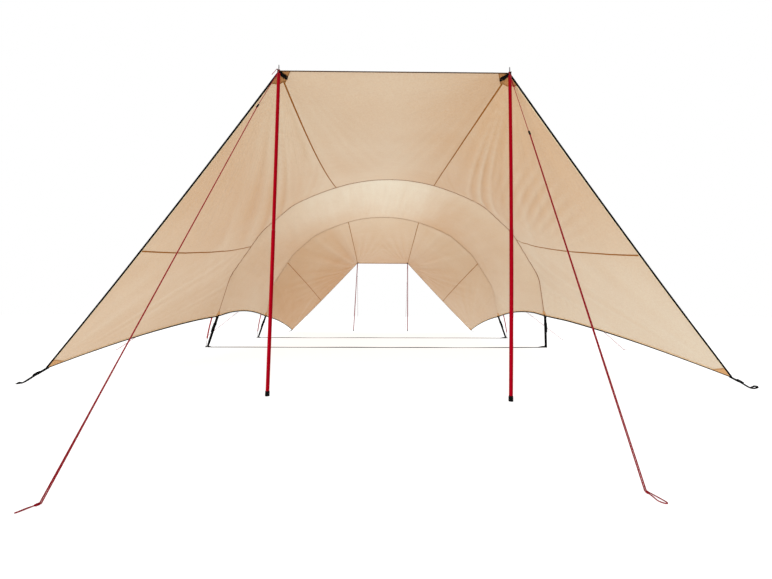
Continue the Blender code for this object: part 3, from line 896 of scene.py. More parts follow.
def band(name, lanes, half, material):
    """Cloth of its own thickness laid over the canopy. lanes are rows of (row, column) places along it."""
    bm = bmesh.new()
    layers = uv_layers(bm)
    length = lengths_along([on_cloth(*place) for place in lanes[len(lanes) // 2]])
    width = lengths_along([on_cloth(*lane[len(lane) // 2]) for lane in lanes])
    skins = []
    for height in (-half, half):
        skin = [[bm.verts.new(on_cloth(*place, height)) for place in station] for station in zip(*lanes)]
        add_quads(bm, skin, length, width, layers)
        skins.append(skin)
    last = len(length) - 1
    most = len(lanes) - 1
    rim = [(k, 0) for k in range(last)] + [(last, a) for a in range(most)]
    rim += [(last - k, most - a) for k, a in rim]
    for (k, a), (m, b) in zip(rim, rim[1:] + rim[:1]):
        corners = (skins[0][k][a], skins[0][m][b], skins[1][m][b], skins[1][k][a])
        near, far = (length[k], 0, a / most), (length[m], 0, a / most)
        add_face(bm, corners, (near, far, far, near), layers)
    return add_piece(name, bm, material)


def closed_ring_into(bm, layers, path, normal, wide, thick, sides=8):
    """A ring round a closed flat path: wide in the path's plane and thick across it."""
    rings = []
    for before, point, after in zip(path[-1:] + path, path, path[1:] + path[:1]):
        outward = (after - before).cross(normal).normalized()
        section = ellipse(point, outward * wide / 2, normal * thick / 2, sides)
        rings.append([bm.verts.new(place) for place in section])
    step = (path[1] - path[0]).length
    length = [k * step for k in range(len(path) + 1)]
    girth = [pi * (wide + thick) / 2 * m / sides for m in range(sides + 1)]
    add_quads(bm, rings + rings[:1], length, girth, layers)


def rounded_rectangle(centre, along, across, long, wide, corner):
    """Points round a rectangle with rounded corners."""
    points = []
    for quarter, (a, b) in enumerate(((1, 1), (-1, 1), (-1, -1), (1, -1))):
        for k in range(5):
            turn = pi / 2 * (quarter + k / 4)
            reach = a * (long / 2 - corner) + corner * cos(turn)
            aside = b * (wide / 2 - corner) + corner * sin(turn)
            points.append(centre + along * reach + across * aside)
    return points


def barred_frame(centre, along, across, size, corner, rim, places, bar):
    """A rounded frame with bars across it, as a bmesh. rim and bar are the width and thickness of each."""
    long, wide = size
    bm = bmesh.new()
    layers = uv_layers(bm)
    outline = rounded_rectangle(centre, along, across, long, wide, corner)
    closed_ring_into(bm, layers, outline, along.cross(across), *rim)
    for place in places:
        middle = centre + along * long * place
        strap_into(bm, layers, [middle + across * wide / 2 * k for k in (-1, 0, 1)], along, *bar)
    return bm, layers


def ladder_lock(name, centre, along, across, width):
    """A ladder-lock buckle for webbing: a rounded frame, two cross bars and a lip that tilts up."""
    along = along.normalized()
    across = square_to(along, across)
    up = along.cross(across)
    long = width * 0.5 + 0.016
    size = (long, width + 0.006)
    bars = (-0.16, 0.17)
    bm, layers = barred_frame(centre, along, across, size, 0.003, (0.0042, 0.0036), bars, (0.0042, 0.0032))
    end = centre + along * long / 2
    lip = [end, end + along * 0.004 + up * 0.0018, end + along * 0.008 + up * 0.0045]
    strap_into(bm, layers, lip, across, width * 0.8, 0.0024)
    return add_piece(name, bm, PLASTIC)


def turned_about(direction, axis, angle):
    """A direction turned about an axis."""
    return Matrix.Rotation(angle, 3, axis) @ direction


def eased_path(points, step=0.02):
    """Straight runs between points, cut into short steps."""
    path = []
    for here, after in zip(points, points[1:]):
        count = max(int((after - here).length / step), 1)
        path += [here.lerp(after, k / count) for k in range(count)]
    return path + [points[-1]]


KNOT_TURNS = 3
SLIDER_SIZE = (0.0265, 0.0050)


def knot(name, place, axis, size):
    """A wrapped knot: cord wound round the strands that it holds."""
    axis = axis.normalized()
    side = axis.orthogonal().normalized()
    up = axis.cross(side)
    steps = KNOT_TURNS * 10
    long = KNOT_TURNS * CORD_RADIUS * 1.9
    path = []
    for k in range(steps + 1):
        share = k / steps
        turn = tau * KNOT_TURNS * share
        radius = size * (1 + 0.18 * sin(pi * share))
        path.append(place + axis * long * (share - 0.5) + (side * cos(turn) + up * sin(turn)) * radius)
    return tube(name, path, CORD_RADIUS * 0.95, RED_CORD, 8)


def slider(name, place, along, across):
    """A guy line slider: a flat block with three bars that the cord runs round."""
    along = along.normalized()
    across = square_to(along, across)
    bars = (-0.34, 0, 0.34)
    bm, _ = barred_frame(place, along, across, SLIDER_SIZE, 0.002, (0.0040, 0.0050), bars, (0.0080, 0.0044))
    return add_piece(name, bm, PLASTIC)


# The canopy and what is sewn on it

SEAM_HALVES = {"front": 0.0052, "rear": 0.0058}
SEAM_THICK = 0.0009
# The front arch seam is wide enough to hold the painted shadow of its sleeve and pole.
ARCH_SEAM_HALVES = {"front": 0.0072, "rear": 0.004}
PANELS = [f"{end}_{strip}_panel" for end in ENDS
          for strip in ("lower_left", "upper_left", "centre", "upper_right", "lower_right")]

# Painted light and shade: how light each panel is, from the left hem to the right hem, the darkening towards
# the rear, and how much paler a fold's crest is
PAINTED_PANEL_LIGHT = {
    "front": {-3: 0.65, -2.2: 0.63, -1.5: 0.50, -1: 0.74, 0: 0.77, 1: 0.52, 1.5: 0.53, 2.2: 0.86, 3: 1.01},
    "middle": {-3: 0.68, -2: 0.57, -1: 0.97, 0: 1.14, 0.8: 1.02, 1.4: 0.64, 2: 0.72, 3: 0.81},
    "rear": {-3: 0.27, -1.5: 0.31, -0.8: 0.56, 0: 0.57, 0.8: 0.54, 1.5: 0.52, 3: 0.60},
}
PAINTED_REAR_SHADE = {"front": (0.0, 0.0), "middle": (0.24, -0.35), "rear": (0.50, 0.45)}
PAINTED_FOLD_LIGHT = {"front": 16.0, "middle": 14.0, "rear": 8.0}


def painted_light_and_tone(row, column):
    """The canopy's painted light and shade at a lattice point, with patchy variation of the cloth's own
    tone.
    """
    u = U[column]
    bay, share = ROWS[row]
    places = list(PAINTED_PANEL_LIGHT[bay].items())
    for (low, first), (high, second) in zip(places, places[1:]):
        if u <= high:
            break
    # Painted light: how light this panel is painted.
    level = first + (second - first) * smoothstep((u - low) / (high - low))
    # Painted shade, darker towards the rear.
    strength, even = PAINTED_REAR_SHADE[bay]
    level += strength * (even - share) * smoothstep(1.5 - abs(u) / 2)
    # Patchy variation of the cloth's tone, then painted light that makes fold crests paler and hollows
    # darker.
    patchy = 0.07 * noise.noise(Vector(POINTS[row, column]) * 1.1)
    return level + patchy + PAINTED_FOLD_LIGHT[bay] * FOLD_HEIGHTS[row, column]


def fan_place(row, column, along, across):
    """A canopy point's direction and distance from the nearer peak, on the flattened cloth."""
    way = SIDES[side_of(U[column])]
    edge = 0 if row < len(ROWS) / 2 else LAST_ROW
    peak = round(column_of(way))
    away = abs(along[row, column] - along[edge, column])
    aside = (across[row, column] - across[edge, peak]) * way
    return atan2(aside, away) + 2 + way, (away * away + aside * aside) ** 0.5


def fan_strength(row, column, away):
    """How strongly streaks that fan out from a peak show at a canopy point."""
    if ROWS[row][0] == "middle":
        return 0.0
    share = ROWS[row][1]
    side_panel = 0.35 + 0.65 * smoothstep((abs(U[column]) - 0.9) * 5)
    if U[column] > 1 and share > 0 and ROWS[row][0] == "front":
        side_panel = 0.45
    near = smoothstep((2.2 - away) / 1.8)
    return side_panel * near * smoothstep(share * 4) * smoothstep(abs(U[column]) * 3)


def make_canopy():
    """The whole canopy as one sheet."""
    bm = bmesh.new()
    layers = uv_layers(bm)
    fan = bm.loops.layers.uv.new("fan")
    shade = bm.loops.layers.uv.new("shade")
    verts = [[bm.verts.new(point) for point in row] for row in POINTS]
    across = np.zeros(POINTS.shape[:2])
    across[:, 1:] = np.cumsum(np.linalg.norm(np.diff(POINTS, axis=1), axis=2), axis=1)
    across -= across[:, [LAST_COLUMN // 2]]
    along = np.zeros(POINTS.shape[:2])
    along[1:] = np.cumsum(np.linalg.norm(np.diff(POINTS, axis=0), axis=2), axis=0)
    for i in range(LAST_ROW):
        for j in range(LAST_COLUMN):
            spots = ((i, j), (i, j + 1), (i + 1, j + 1), (i + 1, j))
            corners = [verts[r][c] for r, c in spots]
            face = add_face(bm, corners, [(along[s], across[s], 0.5) for s in spots], layers)
            for loop, (r, c) in zip(face.loops, spots):
                turn, away = fan_place(r, c, along, across)
                loop[fan].uv = (turn, away)
                # The shade map holds each point's painted light and shade, and how strongly the fan streaks
                # show.
                loop[shade].uv = (painted_light_and_tone(r, c), fan_strength(r, c, away))
    return add_piece("canopy", bm, CLOTH, (*PANELS, "middle_panel"), 80, closed=False)


def lanes_along(rows, column, way, insets):
    """Lanes along the tent, each inset from a column towards one side by a length."""
    lanes = []
    for inset in insets:
        lanes.append([(row, column + way * columns_in(row, column, inset)) for row in rows])
    return lanes


def make_seams():
    """The felled seams along the tent and over the arches; the front arch's seam also carries a painted
    shadow of its sleeve and pole.
    """
    seams = []
    spans = {"front": range(FRONT_ARCH_ROW + 1), "rear": range(REAR_ARCH_ROW, LAST_ROW + 1)}
    for side, way in SIDES.items():
        for end, rows in spans.items():
            half = SEAM_HALVES[end]
            for u, label in ((1, "centre_seam"), (2, "side_seam")):
                lanes = lanes_along(rows, column_of(way * u), 1, (-half, 0, half))
                seams.append(band(f"{end}_{side}_{label}", lanes, SEAM_THICK, SEAM))
    # The front arch seam carries the painted shadow of its sleeve and pole; the rear one is pale.
    for end, material in (("front", ARCH_SEAM_AND_SHADOW), ("rear", PALE_SEAM)):
        row = ARCH_ROWS[end]
        half = ARCH_SEAM_HALVES[end]
        lanes = []
        for offset in (-half, 0, half):
            lanes.append([(row + rows_in(row, j, offset), j) for j in range(LAST_COLUMN + 1)])
        seams.append(band(f"{end}_arch_seam", lanes, SEAM_THICK, material))
    return seams


HEM_THICK = 0.0011
HEM_WIDTH = 0.015
# The hem's binding is narrow at the front corners and wider from the front arch on
BINDING_WIDTHS = (0.0095, 0.017)
SLOPE_HEM_WIDTH = 0.009
SLOPE_HEM_INSET = 0.004
LEFT_PEAK = int(column_of(-1))
RIGHT_PEAK = int(column_of(1))
# The webbing down the slopes and along the ridge of each end, with its width
EDGE_WEBBING = {
    "front": ((BLACK_WEBBING, 0.0108), (BROWN_WEBBING, 0.006)),
    "rear": ((TAN_WEBBING, 0.012), (TAN_WEBBING, 0.022)),
}


def make_side_hem(side):
    """The turned hem along a side, and its dark binding."""
    column, way = HEM_LINES[side]
    rows = range(LAST_ROW + 1)
    folded = lanes_along(rows, column, way, (0.002, HEM_WIDTH * 0.5, HEM_WIDTH))
    hem = band(f"{side}_hem", folded, HEM_THICK, HEM)
    path = [on_cloth(row, column) for row in rows]
    turns = []
    for tangent in directions(path):
        outward = tangent.cross(UPWARD).normalized()
        turns.append(outward.cross(tangent).normalized())
    narrow, full = BINDING_WIDTHS
    widths = [narrow + (full - narrow) * smoothstep(row / FRONT_ARCH_ROW * 1.3) for row in rows]
    path = [point - UPWARD * (width / 2 - 0.0035) for point, width in zip(path, widths)]
    return [hem, webbing(f"{side}_hem_binding", [(path, turns)], widths, 0.0034, BINDING)]


def edge_rows_in(row, column, metres):
    """How many rows make up a length square to an end's edge, which the lattice meets at a slant."""
    inward = 1 if row < LAST_ROW / 2 else -1
    here = on_cloth(row, column)
    along_edge = (on_cloth(row, column + 0.5) - on_cloth(row, column - 0.5)).normalized()
    step = on_cloth(row + inward, column) - here
    return metres / (step - along_edge * step.dot(along_edge)).length


def make_slope_hems():
    """The paler fold behind each slope's webbing."""
    pieces = []
    spans = {"left": range(LEFT_PEAK + 1), "right": range(RIGHT_PEAK, LAST_COLUMN + 1)}
    for end, (row, way) in EDGES.items():
        for side, span in spans.items():
            lanes = []
            for share in (0, 0.5, 1):
                inset = SLOPE_HEM_INSET + SLOPE_HEM_WIDTH * share
                lanes.append([(row + way * edge_rows_in(row, column, inset), column) for column in span])
            pieces.append(band(f"{end}_{side}_slope_hem", lanes, HEM_THICK, SLOPE_HEM))
    return pieces


def make_edge_bindings():
    """Webbing bound over the free edge of each end: a level ridge piece and a piece down each slope."""
    pieces = []
    for end, (row, _) in EDGES.items():
        slope, ridge = EDGE_WEBBING[end]
        spans = {"left_slope": (0, LEFT_PEAK, *slope), "ridge": (LEFT_PEAK, RIGHT_PEAK, *ridge),
                 "right_slope": (RIGHT_PEAK, LAST_COLUMN, *slope)}
        for label, (first, last, material, tall) in spans.items():
            outward = REARWARD * ENDS[end] * 0.0018
            path = [on_cloth(row, column) + outward for column in range(first, last + 1)]
            sides = [tangent.cross(REARWARD).normalized() for tangent in directions(path)]
            path = [point - side * 0.001 for point, side in zip(path, sides)]
            replaces = (f"{end}_edge_webbing",) if label == "ridge" else ()
            name = f"{end}_{label}_binding"
            pieces.append(webbing(name, [(path, sides)], tall, 0.0045, material, replaces))
    return pieces


PATCH_STEPS = 5


def patch(name, corner, outline, material):
    """A reinforcement patch: a fan of cloth from a corner to an outline, all as (row, column) places."""
    far = []
    for (r0, c0), (r1, c1) in zip(outline, outline[1:]):
        far += [(r0 + (r1 - r0) * k / 8, c0 + (c1 - c0) * k / 8) for k in range(8)]
    far.append(outline[-1])
    row, column = corner
    lanes = []
    for step in range(PATCH_STEPS + 1):
        share = 0.02 + 0.98 * step / PATCH_STEPS
        lanes.append([(row + (r - row) * share, column + (c - column) * share) for r, c in far])
    return band(name, lanes, 0.0013, material)


def make_end_patches(end, side):
    """The patches at a peak and at a corner of the cloth."""
    edge, inward = EDGES[end]
    way = SIDES[side]
    peak = column_of(way)
    deep = inward * rows_in(edge + inward * 0.5, peak, 0.10)
    ridge = way * columns_in(edge, peak - way * 0.5, 0.062)
    slope = way * columns_in(edge, peak + way * 0.5, 0.08)
    outline = [(edge, peak - ridge), (edge + deep, peak - way * 0.4),
               (edge + deep * 0.75, peak + slope * 0.4), (edge, peak + slope)]
    at_peak = patch(f"{end}_{side}_peak_patch", (edge, peak), outline, PATCH)
    column = HEM_LINES[side][0]
    up = way * columns_in(edge, column - way * 0.5, 0.075)
    along = inward * rows_in(edge + inward * 0.5, column, 0.13)
    outline = [(edge, column - up), (edge + along * 0.45, column - up * 0.55), (edge + along, column)]
    return [at_peak, patch(f"{end}_{side}_corner_patch", (edge, column), outline, PALE_PATCH)]


def make_arch_patch(end, side):
    """The patch where an arch meets a hem."""
    row = ARCH_ROWS[end]
    column, way = HEM_LINES[side]
    along = rows_in(row, column, 0.065)
    up = way * columns_in(row, column, 0.075)
    outline = [(row - along, column), (row - along * 0.4, column + up * 0.8),
               (row + along * 0.4, column + up * 0.8), (row + along, column)]
    return patch(f"{end}_{side}_arch_patch", (row, column), outline, PALE_PATCH)


# The arch poles and their sleeves

ARCH_STEPS = 150
LEG_STEPS = 16
TIP_LENGTH = 0.085
SLEEVE_FLANGE = 0.019
SLEEVE_INSIDE = 0.0078
SLEEVE_GIRTH = 0.08


def arch_stations(end):
    """Pole centres and outward directions over the cloth, from left to right."""
    stations = []
    for k in range(ARCH_STEPS + 1):
        u = -TUCK_U + 2 * TUCK_U * k / ARCH_STEPS
        point = arch_point(u, end)
        out = Vector((point.x, 0, point.z)).normalized()
        stations.append((pitched(point + out * ARCH_OFFSET), out))
    return stations


def leg_path(end, side, tuck):
    """Centre line of an arch pole's leg, from the foot up to just short of the cloth."""
    foot, bow, _ = ARCH_FEET[end, side]
    points = []
    for k in range(LEG_STEPS):
        share = k / LEG_STEPS
        points.append(foot.lerp(tuck, share) + RIGHTWARD * SIDES[side] * bow * arc(share))
    return points


def sleeve_outline(puff):
    """Outer cross-section of a sleeve: flat flanges sewn to the canopy and a round channel over the pole."""
    flange = SLEEVE_FLANGE
    low = -ARCH_OFFSET + 0.0026
    outline = [(flange, low), (flange, low + 0.0012)]
    for k in range(13):
        turn = -0.35 + (pi + 0.7) * k / 12
        outline.append(((0.0088 + puff) * cos(turn), (0.0088 + puff) * sin(turn)))
    outline += [(-flange, low + 0.0012), (-flange, low)]
    return outline + [(-flange + 2 * flange * k / 4, low) for k in range(1, 4)]


def make_sleeve(end, stations):
    """The cloth channel over the canopy that the arch pole runs through, hollow and a little puckered."""
    bm = bmesh.new()
    layers = uv_layers(bm)
    outer, inner = [], []
    for k, (centre, out) in enumerate(stations):
        outline = sleeve_outline(0.0005 + 0.0006 * noise_at(k * 0.9, ENDS[end] * 5, 0))
        outer.append([bm.verts.new(centre + REARWARD * a + out * b) for a, b in outline])
        turns = [atan2(b, a) for a, b in outline]
        inside = [centre + (REARWARD * cos(turn) + out * sin(turn)) * SLEEVE_INSIDE for turn in turns]
        inner.append([bm.verts.new(point) for point in inside])
    length = lengths_along([centre for centre, _ in stations])
    count = len(outer[0])
    girth = [SLEEVE_GIRTH * k / count for k in range(count + 1)]
    for rings in (outer, inner):
        add_quads(bm, rings, length, girth, layers)
    for k in (0, -1):
        add_quads(bm, (outer[k], inner[k]), (0, 0), girth, layers)
    return add_piece(f"{end}_sleeve", bm, SLEEVE, (f"{end}_arch_sleeve",))


def leg_axis(end, side):
    """The direction of an arch pole at its foot."""
    tuck = arch_point(SIDES[side] * TUCK_U, end)
    lowest = leg_path(end, side, pitched(tuck + Vector((tuck.x, 0, tuck.z)).normalized() * ARCH_OFFSET))
    return (lowest[1] - lowest[0]).normalized()


def make_arch(end):
    """One arch: its red pole with bare tips, and the sleeve over the canopy."""
    stations = arch_stations(end)
    left = leg_path(end, "left", stations[0][0])
    right = leg_path(end, "right", stations[-1][0])
    whole = left + [centre for centre, _ in stations] + right[::-1]
    trimmed = [point for point in whole if point.z > TIP_LENGTH]
    tube(f"{end}_arch_tube", trimmed, ARCH_TUBE_RADIUS, RED_POLE, 16, (f"{end}_arch_pole",))
    for side, leg, start in (("left", left, trimmed[0]), ("right", right, trimmed[-1])):
        foot = leg[0]
        axis = (start - foot).normalized()
        reach = (start - foot).length
        profile = ((0.0, 0.0035), (0.0008, 0.0052), (0.006, 0.0056), (0.008, 0.0047),
                   (reach - 0.012, 0.0047), (reach - 0.011, 0.0066), (reach - 0.002, 0.0068),
                   (reach + 0.004, 0.0060))
        turned(f"{end}_{side}_arch_tip", foot, axis, profile, ALUMINIUM)
    return make_sleeve(end, stations)


# Webbing at the feet and corners

LEG_WEBBING_WIDTH = 0.033
CORNER_WEBBING_WIDTH = 0.017
HEM_CLEARANCE = 0.0016
CORNER_DROP = 0.0027
CUFF_HEIGHT = 0.02
FLOOR_STEPS = 90
# How far the webbing beside an arch foot passes in front of the pole's end, and where its buckle sits
LEG_STRAP_SHIFTS = each_corner(0.0, 0.009, 0.0, 0.0)
LEG_BUCKLE_SHARE = 0.26
LEG_STRAP_TWISTS = each_corner(0.5, 0.0, 0.5, 0.3)
# The strap at a corner of the cloth: where it meets the floor, and the tip of its peg loop
CORNER_ROUTES = each_corner(
    (Vector((-2.2617, -3.2919, 0.004)), Vector((-2.2885, -3.294, 0.003))),
    (Vector((2.2140, -3.4280, 0.003)), Vector((2.2500, -3.4250, 0.003))),
    (Vector((-2.335, 3.322, 0.004)), Vector((-2.375, 3.333, 0.003))),
    (Vector((2.335, 3.322, 0.004)), Vector((2.375, 3.333, 0.003))),
)
CORNER_BUCKLE_SHARES = (0.26, 0.52)
# How far the webbing there is turned about its own run, and how far its loop leans
CORNER_TURNS = {"left": radians(28), "right": radians(-20)}
LOOP_TILTS = {"left": 0.5, "right": -0.06}
# How high the loop at a strap's end stands
CORNER_LOOPS = each_corner(0.005, 0.015, 0.006, 0.006)


def doubled(path, normal, side):
    """Two strips of webbing face to face along a path, with the direction across them."""
    lifts = [normal * layer * WEBBING_THICK * 0.6 for layer in (-1, 1)]
    return [([point + lift for point in path], side) for lift in lifts]


def strap_foot(end, side):
    """Where the webbing of an arch foot meets the floor, beside the pole's end."""
    foot = ARCH_FEET[end, side][0]
    shift = LEG_STRAP_SHIFTS[end, side]
    return foot + Vector((shift - SIDES[side] * (ARCH_POLE_RADIUS + WEBBING_WIDTH / 2), -shift, 0))


def make_leg_strap(end, side):
    """The webbing from a hem down to an arch foot, with its buckle, its loose tail and the pole's cuff."""
    way = SIDES[side]
    name = f"{end}_{side}"
    hem = arch_point(way * 3, end) - UPWARD * HEM_CLEARANCE
    top = pitched(hem) + RIGHTWARD * LEG_STRAP_SHIFTS[end, side]
    bottom = strap_foot(end, side)
    run = bottom - top
    down = run.normalized()
    front = facing(down.cross(RIGHTWARD).normalized(), -REARWARD)
    lock = top.lerp(bottom, LEG_BUCKLE_SHARE)
    upper = [top - down * 0.018, top, lock - down * 0.012, lock + down * 0.004]
    strips = doubled(upper, front, RIGHTWARD)
    lower = eased_path([lock - down * 0.006, bottom - down * 0.004])
    turns = []
    for k in range(len(lower)):
        share = smoothstep(k / len(lower) * 2.5 - 1.5)
        turns.append(turned_about(RIGHTWARD, down, -way * LEG_STRAP_TWISTS[end, side] * share))
    strips.append((lower, turns))
    outward = RIGHTWARD * way * 0.003
    tail = smooth_path([lock - down * 0.008 + front * 0.004, lock + down * 0.010 + front * 0.009,
                        lock + run * 0.11 + front * 0.010 + outward,
                        lock + run * 0.26 + front * 0.006 + outward])
    turns = [turned_about(RIGHTWARD, down, way * 0.3 * k / len(tail)) for k in range(len(tail))]
    strips.append((tail, turns))
    webbing(f"{name}_leg_webbing", strips, LEG_WEBBING_WIDTH, WEBBING_THICK, BLACK_WEBBING,
            (f"{name}_leg_strap",))
    ladder_lock(f"{name}_leg_buckle", lock + front * 0.004, down, RIGHTWARD, LEG_WEBBING_WIDTH)
    foot = ARCH_FEET[end, side][0]
    profile = ((0.0005, 0.0062), (0.001, 0.0076), (0.004, 0.0082), (CUFF_HEIGHT - 0.003, 0.0080),
               (CUFF_HEIGHT, 0.0074), (CUFF_HEIGHT + 0.0002, 0.0058))
    turned(f"{name}_foot_cuff", foot, leg_axis(end, side), profile, BLACK_WEBBING, 20)


def make_floor_strap(end):
    """The webbing along the floor from foot to foot, lying flat but for a twist by each foot."""
    left = strap_foot(end, "left")
    right = strap_foot(end, "right")
    span = (right - left).length
    path, turns = [], []
    for k in range(FLOOR_STEPS + 1):
        share = k / FLOOR_STEPS
        near_foot = min(share * span / 0.05, (1 - share) * span / 0.12)
        slack = 0.2 + 0.22 * noise_at(share * 6, ENDS[end], 0)
        twist = 1.15 * (1 - smoothstep(near_foot)) + slack
        point = left.lerp(right, share)
        point.y += ENDS[end] * 0.035 * smoothstep(share * 1.6) * smoothstep((1 - share) * 8)
        point.y += 0.006 * noise_at(share * 7, 3, ENDS[end])
        point.z = WEBBING_THICK / 2 + 0.0004 + abs(sin(twist)) * WEBBING_WIDTH / 2
        path.append(point)
        turns.append(Vector((0, cos(twist), sin(twist))))
    webbing(f"{end}_floor_webbing", [(path, turns)], WEBBING_WIDTH, WEBBING_THICK, BLACK_WEBBING,
            (f"{end}_floor_strap",))


def corner_loop(end, side, lock_start, lock_end, across):
    """The strip of a corner's webbing from its buckle to the floor, round the peg loop and back."""
    floor, tip = CORNER_ROUTES[end, side]
    ahead = (tip - floor).normalized()
    tall = CORNER_LOOPS[end, side]
    route = [lock_start.lerp(lock_end, 0.2), lock_end, lock_end.lerp(floor, 0.6) - UPWARD * 0.0025,
             floor, floor.lerp(tip, 0.6), tip + UPWARD * tall * 0.3, tip - ahead * 0.008 + UPWARD * tall,
             floor.lerp(tip, 0.25) + UPWARD * tall * 0.6, floor - ahead * 0.010 + UPWARD * 0.003]
    aside = facing(Vector((-ahead.y, ahead.x, 0)), REARWARD) + UPWARD * LOOP_TILTS[side]
    path = smooth_path(route, 6)
    turns = [across.lerp(aside, smoothstep(k / len(path) * 2.5 - 0.5)) for k in range(len(path))]
    return path, turns


def make_corner_strap(end, side):
    """The webbing from a corner of the cloth: buckle, run to the floor, and a loop for the peg."""
    name = f"{end}_{side}"
    corner = pitched(CORNERS[end, side]) - UPWARD * CORNER_DROP
    floor = CORNER_ROUTES[end, side][0]
    lock_start, lock_end = (corner.lerp(floor, share) for share in CORNER_BUCKLE_SHARES)
    middle = lock_start.lerp(lock_end, 0.5)
    run = (floor - corner).normalized()
    level = facing(Vector((-run.y, run.x, 0)).normalized(), REARWARD)
    up = facing(run.cross(level).normalized(), UPWARD)
    turn = CORNER_TURNS[side]
    across = level * cos(turn) - up * sin(turn)
    up = up * cos(turn) + level * sin(turn)
    strips = doubled([corner - run * 0.008, corner, lock_start, middle], up, across)
    rises = ((-0.1, 0.0045), (0.15, 0.0065), (0.6, 0.0070), (1.05, 0.0050))
    cover = [lock_start.lerp(lock_end, share) + up * rise for share, rise in rises]
    strips += [(cover, across), corner_loop(end, side, lock_start, lock_end, across)]
    webbing(f"{name}_corner_webbing", strips, CORNER_WEBBING_WIDTH, WEBBING_THICK, BLACK_WEBBING,
            (f"{name}_corner_strap",))
    ladder_lock(f"{name}_corner_buckle", middle + up * 0.004, run, across, CORNER_WEBBING_WIDTH)


# Upright poles, their caps, spikes and eyelets

JOINT_Z = 0.90
CAP_HEIGHT = 0.028
EYELET_WEBBING = 0.017
EYELET_LAYER = 0.0017
EYELET_HALF = 0.0095
EYELET_RADIUS = 0.0047
# How high above a pole its guy line's loop lies, and the webbing over that
LOOP_LEVEL = 0.0021
EYELET_LEVEL = 0.0049
TAB_WEBBING = 0.021
TAB_REACH = (0.017, 0.040)
TAB_LIFT = -0.0065


def pole_top(end, side):
    """The middle of an upright pole's top."""
    return pitched((SIDES[side] * RIDGE_HALF[end], ENDS[end] * POLE_Y, POLE_HEIGHT + POLE_RISES[end, side]))


def bowed_tube(name, foot, top, bow, spans, replaces=()):
    """A length of an upright pole. spans has pairs of a distance from the foot and a radius."""
    long = (top - foot).length
    path, radii = [], []
    for (near, near_radius), (far, far_radius) in zip(spans, spans[1:]):
        steps = max(int((far - near) / 0.05), 1)
        for k in range(steps):
            path.append(near + (far - near) * k / steps)
            radii.append(near_radius + (far_radius - near_radius) * k / steps)
    path.append(spans[-1][0])
    radii.append(spans[-1][1])
    line = []
    for reach in path:
        share = reach / long
        line.append(foot.lerp(top, share) + RIGHTWARD * bow * arc(share))
    return tube(name, line, radii, RED_POLE, 28, replaces)


def make_upright(end, side):
    """An upright pole in two lengths, with its foot cap, joint collar, top plug and pin."""
    foot = POLE_FEET[end, side]
    top = pole_top(end, side)
    axis = (top - foot).normalized()
    name = f"{end}_{side}"
    long = (top - foot).length
    bow = POLE_BOWS[end, side]
    profile = ((0.0, 0.0106), (0.0012, 0.0118), (0.004, 0.012), (0.020, 0.012), (0.0245, 0.0117),
               (CAP_HEIGHT, 0.0106))
    turned(f"{name}_foot", foot, axis, profile, PLASTIC, replaces=(f"{name}_foot_cap",))
    lower = ((CAP_HEIGHT, LOWER_RADIUS - 0.0004), (JOINT_Z - 0.004, LOWER_RADIUS),
             (JOINT_Z - 0.0008, LOWER_RADIUS - 0.0004))
    upper = ((JOINT_Z, UPPER_RADIUS - 0.0012), (JOINT_Z + 0.0012, UPPER_RADIUS - 0.0012),
             (JOINT_Z + 0.002, UPPER_RADIUS), (long - 0.014, UPPER_RADIUS),
             (long - 0.0135, UPPER_RADIUS - 0.0003))
    bowed_tube(f"{name}_lower_tube", foot, top, bow, lower, (f"{name}_pole",))
    bowed_tube(f"{name}_upper_tube", foot, top, bow, upper)
    collar = ((JOINT_Z - 0.0012, 0.0070), (JOINT_Z - 0.0008, 0.0076), (JOINT_Z + 0.0001, 0.0076),
              (JOINT_Z + 0.0006, 0.0070))
    sideways = RIGHTWARD * bow * arc(JOINT_Z / long)
    turned(f"{name}_joint", foot + sideways, axis, collar, ALUMINIUM)
    plug = ((long - 0.0138, 0.0078), (long - 0.013, 0.0088), (long - 0.003, 0.0088), (long - 0.0006, 0.0078))
    turned(f"{name}_top_plug", foot, axis, plug, PLASTIC)
    pin = ((-0.004, 0.0030), (0.0, 0.0030), (0.034, 0.0028), (0.036, 0.0025), (0.038, 0.0012))
    turned(f"{name}_pin", top, UPWARD, pin, STEEL, 16, (f"{name}_spike",))
    make_eyelet(end, side, top)


def make_eyelet(end, side, top):
    """Webbing with a metal eyelet that the pole's pin goes through, over the loop of the guy line."""
    name = f"{end}_{side}"
    level = top + UPWARD * EYELET_LEVEL
    path = []
    for share in (-1, -0.6, -0.2, 0.2, 0.6, 1):
        path.append(level + Vector((0, ENDS[end] * EYELET_HALF * share, -0.0016 * share * share)))
    webbing(f"{name}_eyelet_webbing", [(path, RIGHTWARD)], EYELET_WEBBING, EYELET_LAYER, BLACK_WEBBING,
            (f"{name}_eyelet",))
    middle = level + UPWARD * EYELET_LAYER / 2
    circle = ellipse(middle, RIGHTWARD * EYELET_RADIUS, REARWARD * EYELET_RADIUS, 20)
    bm = bmesh.new()
    closed_ring_into(bm, uv_layers(bm), circle, UPWARD, 0.0026, 0.0012)
    add_piece(f"{name}_grommet", bm, STEEL)


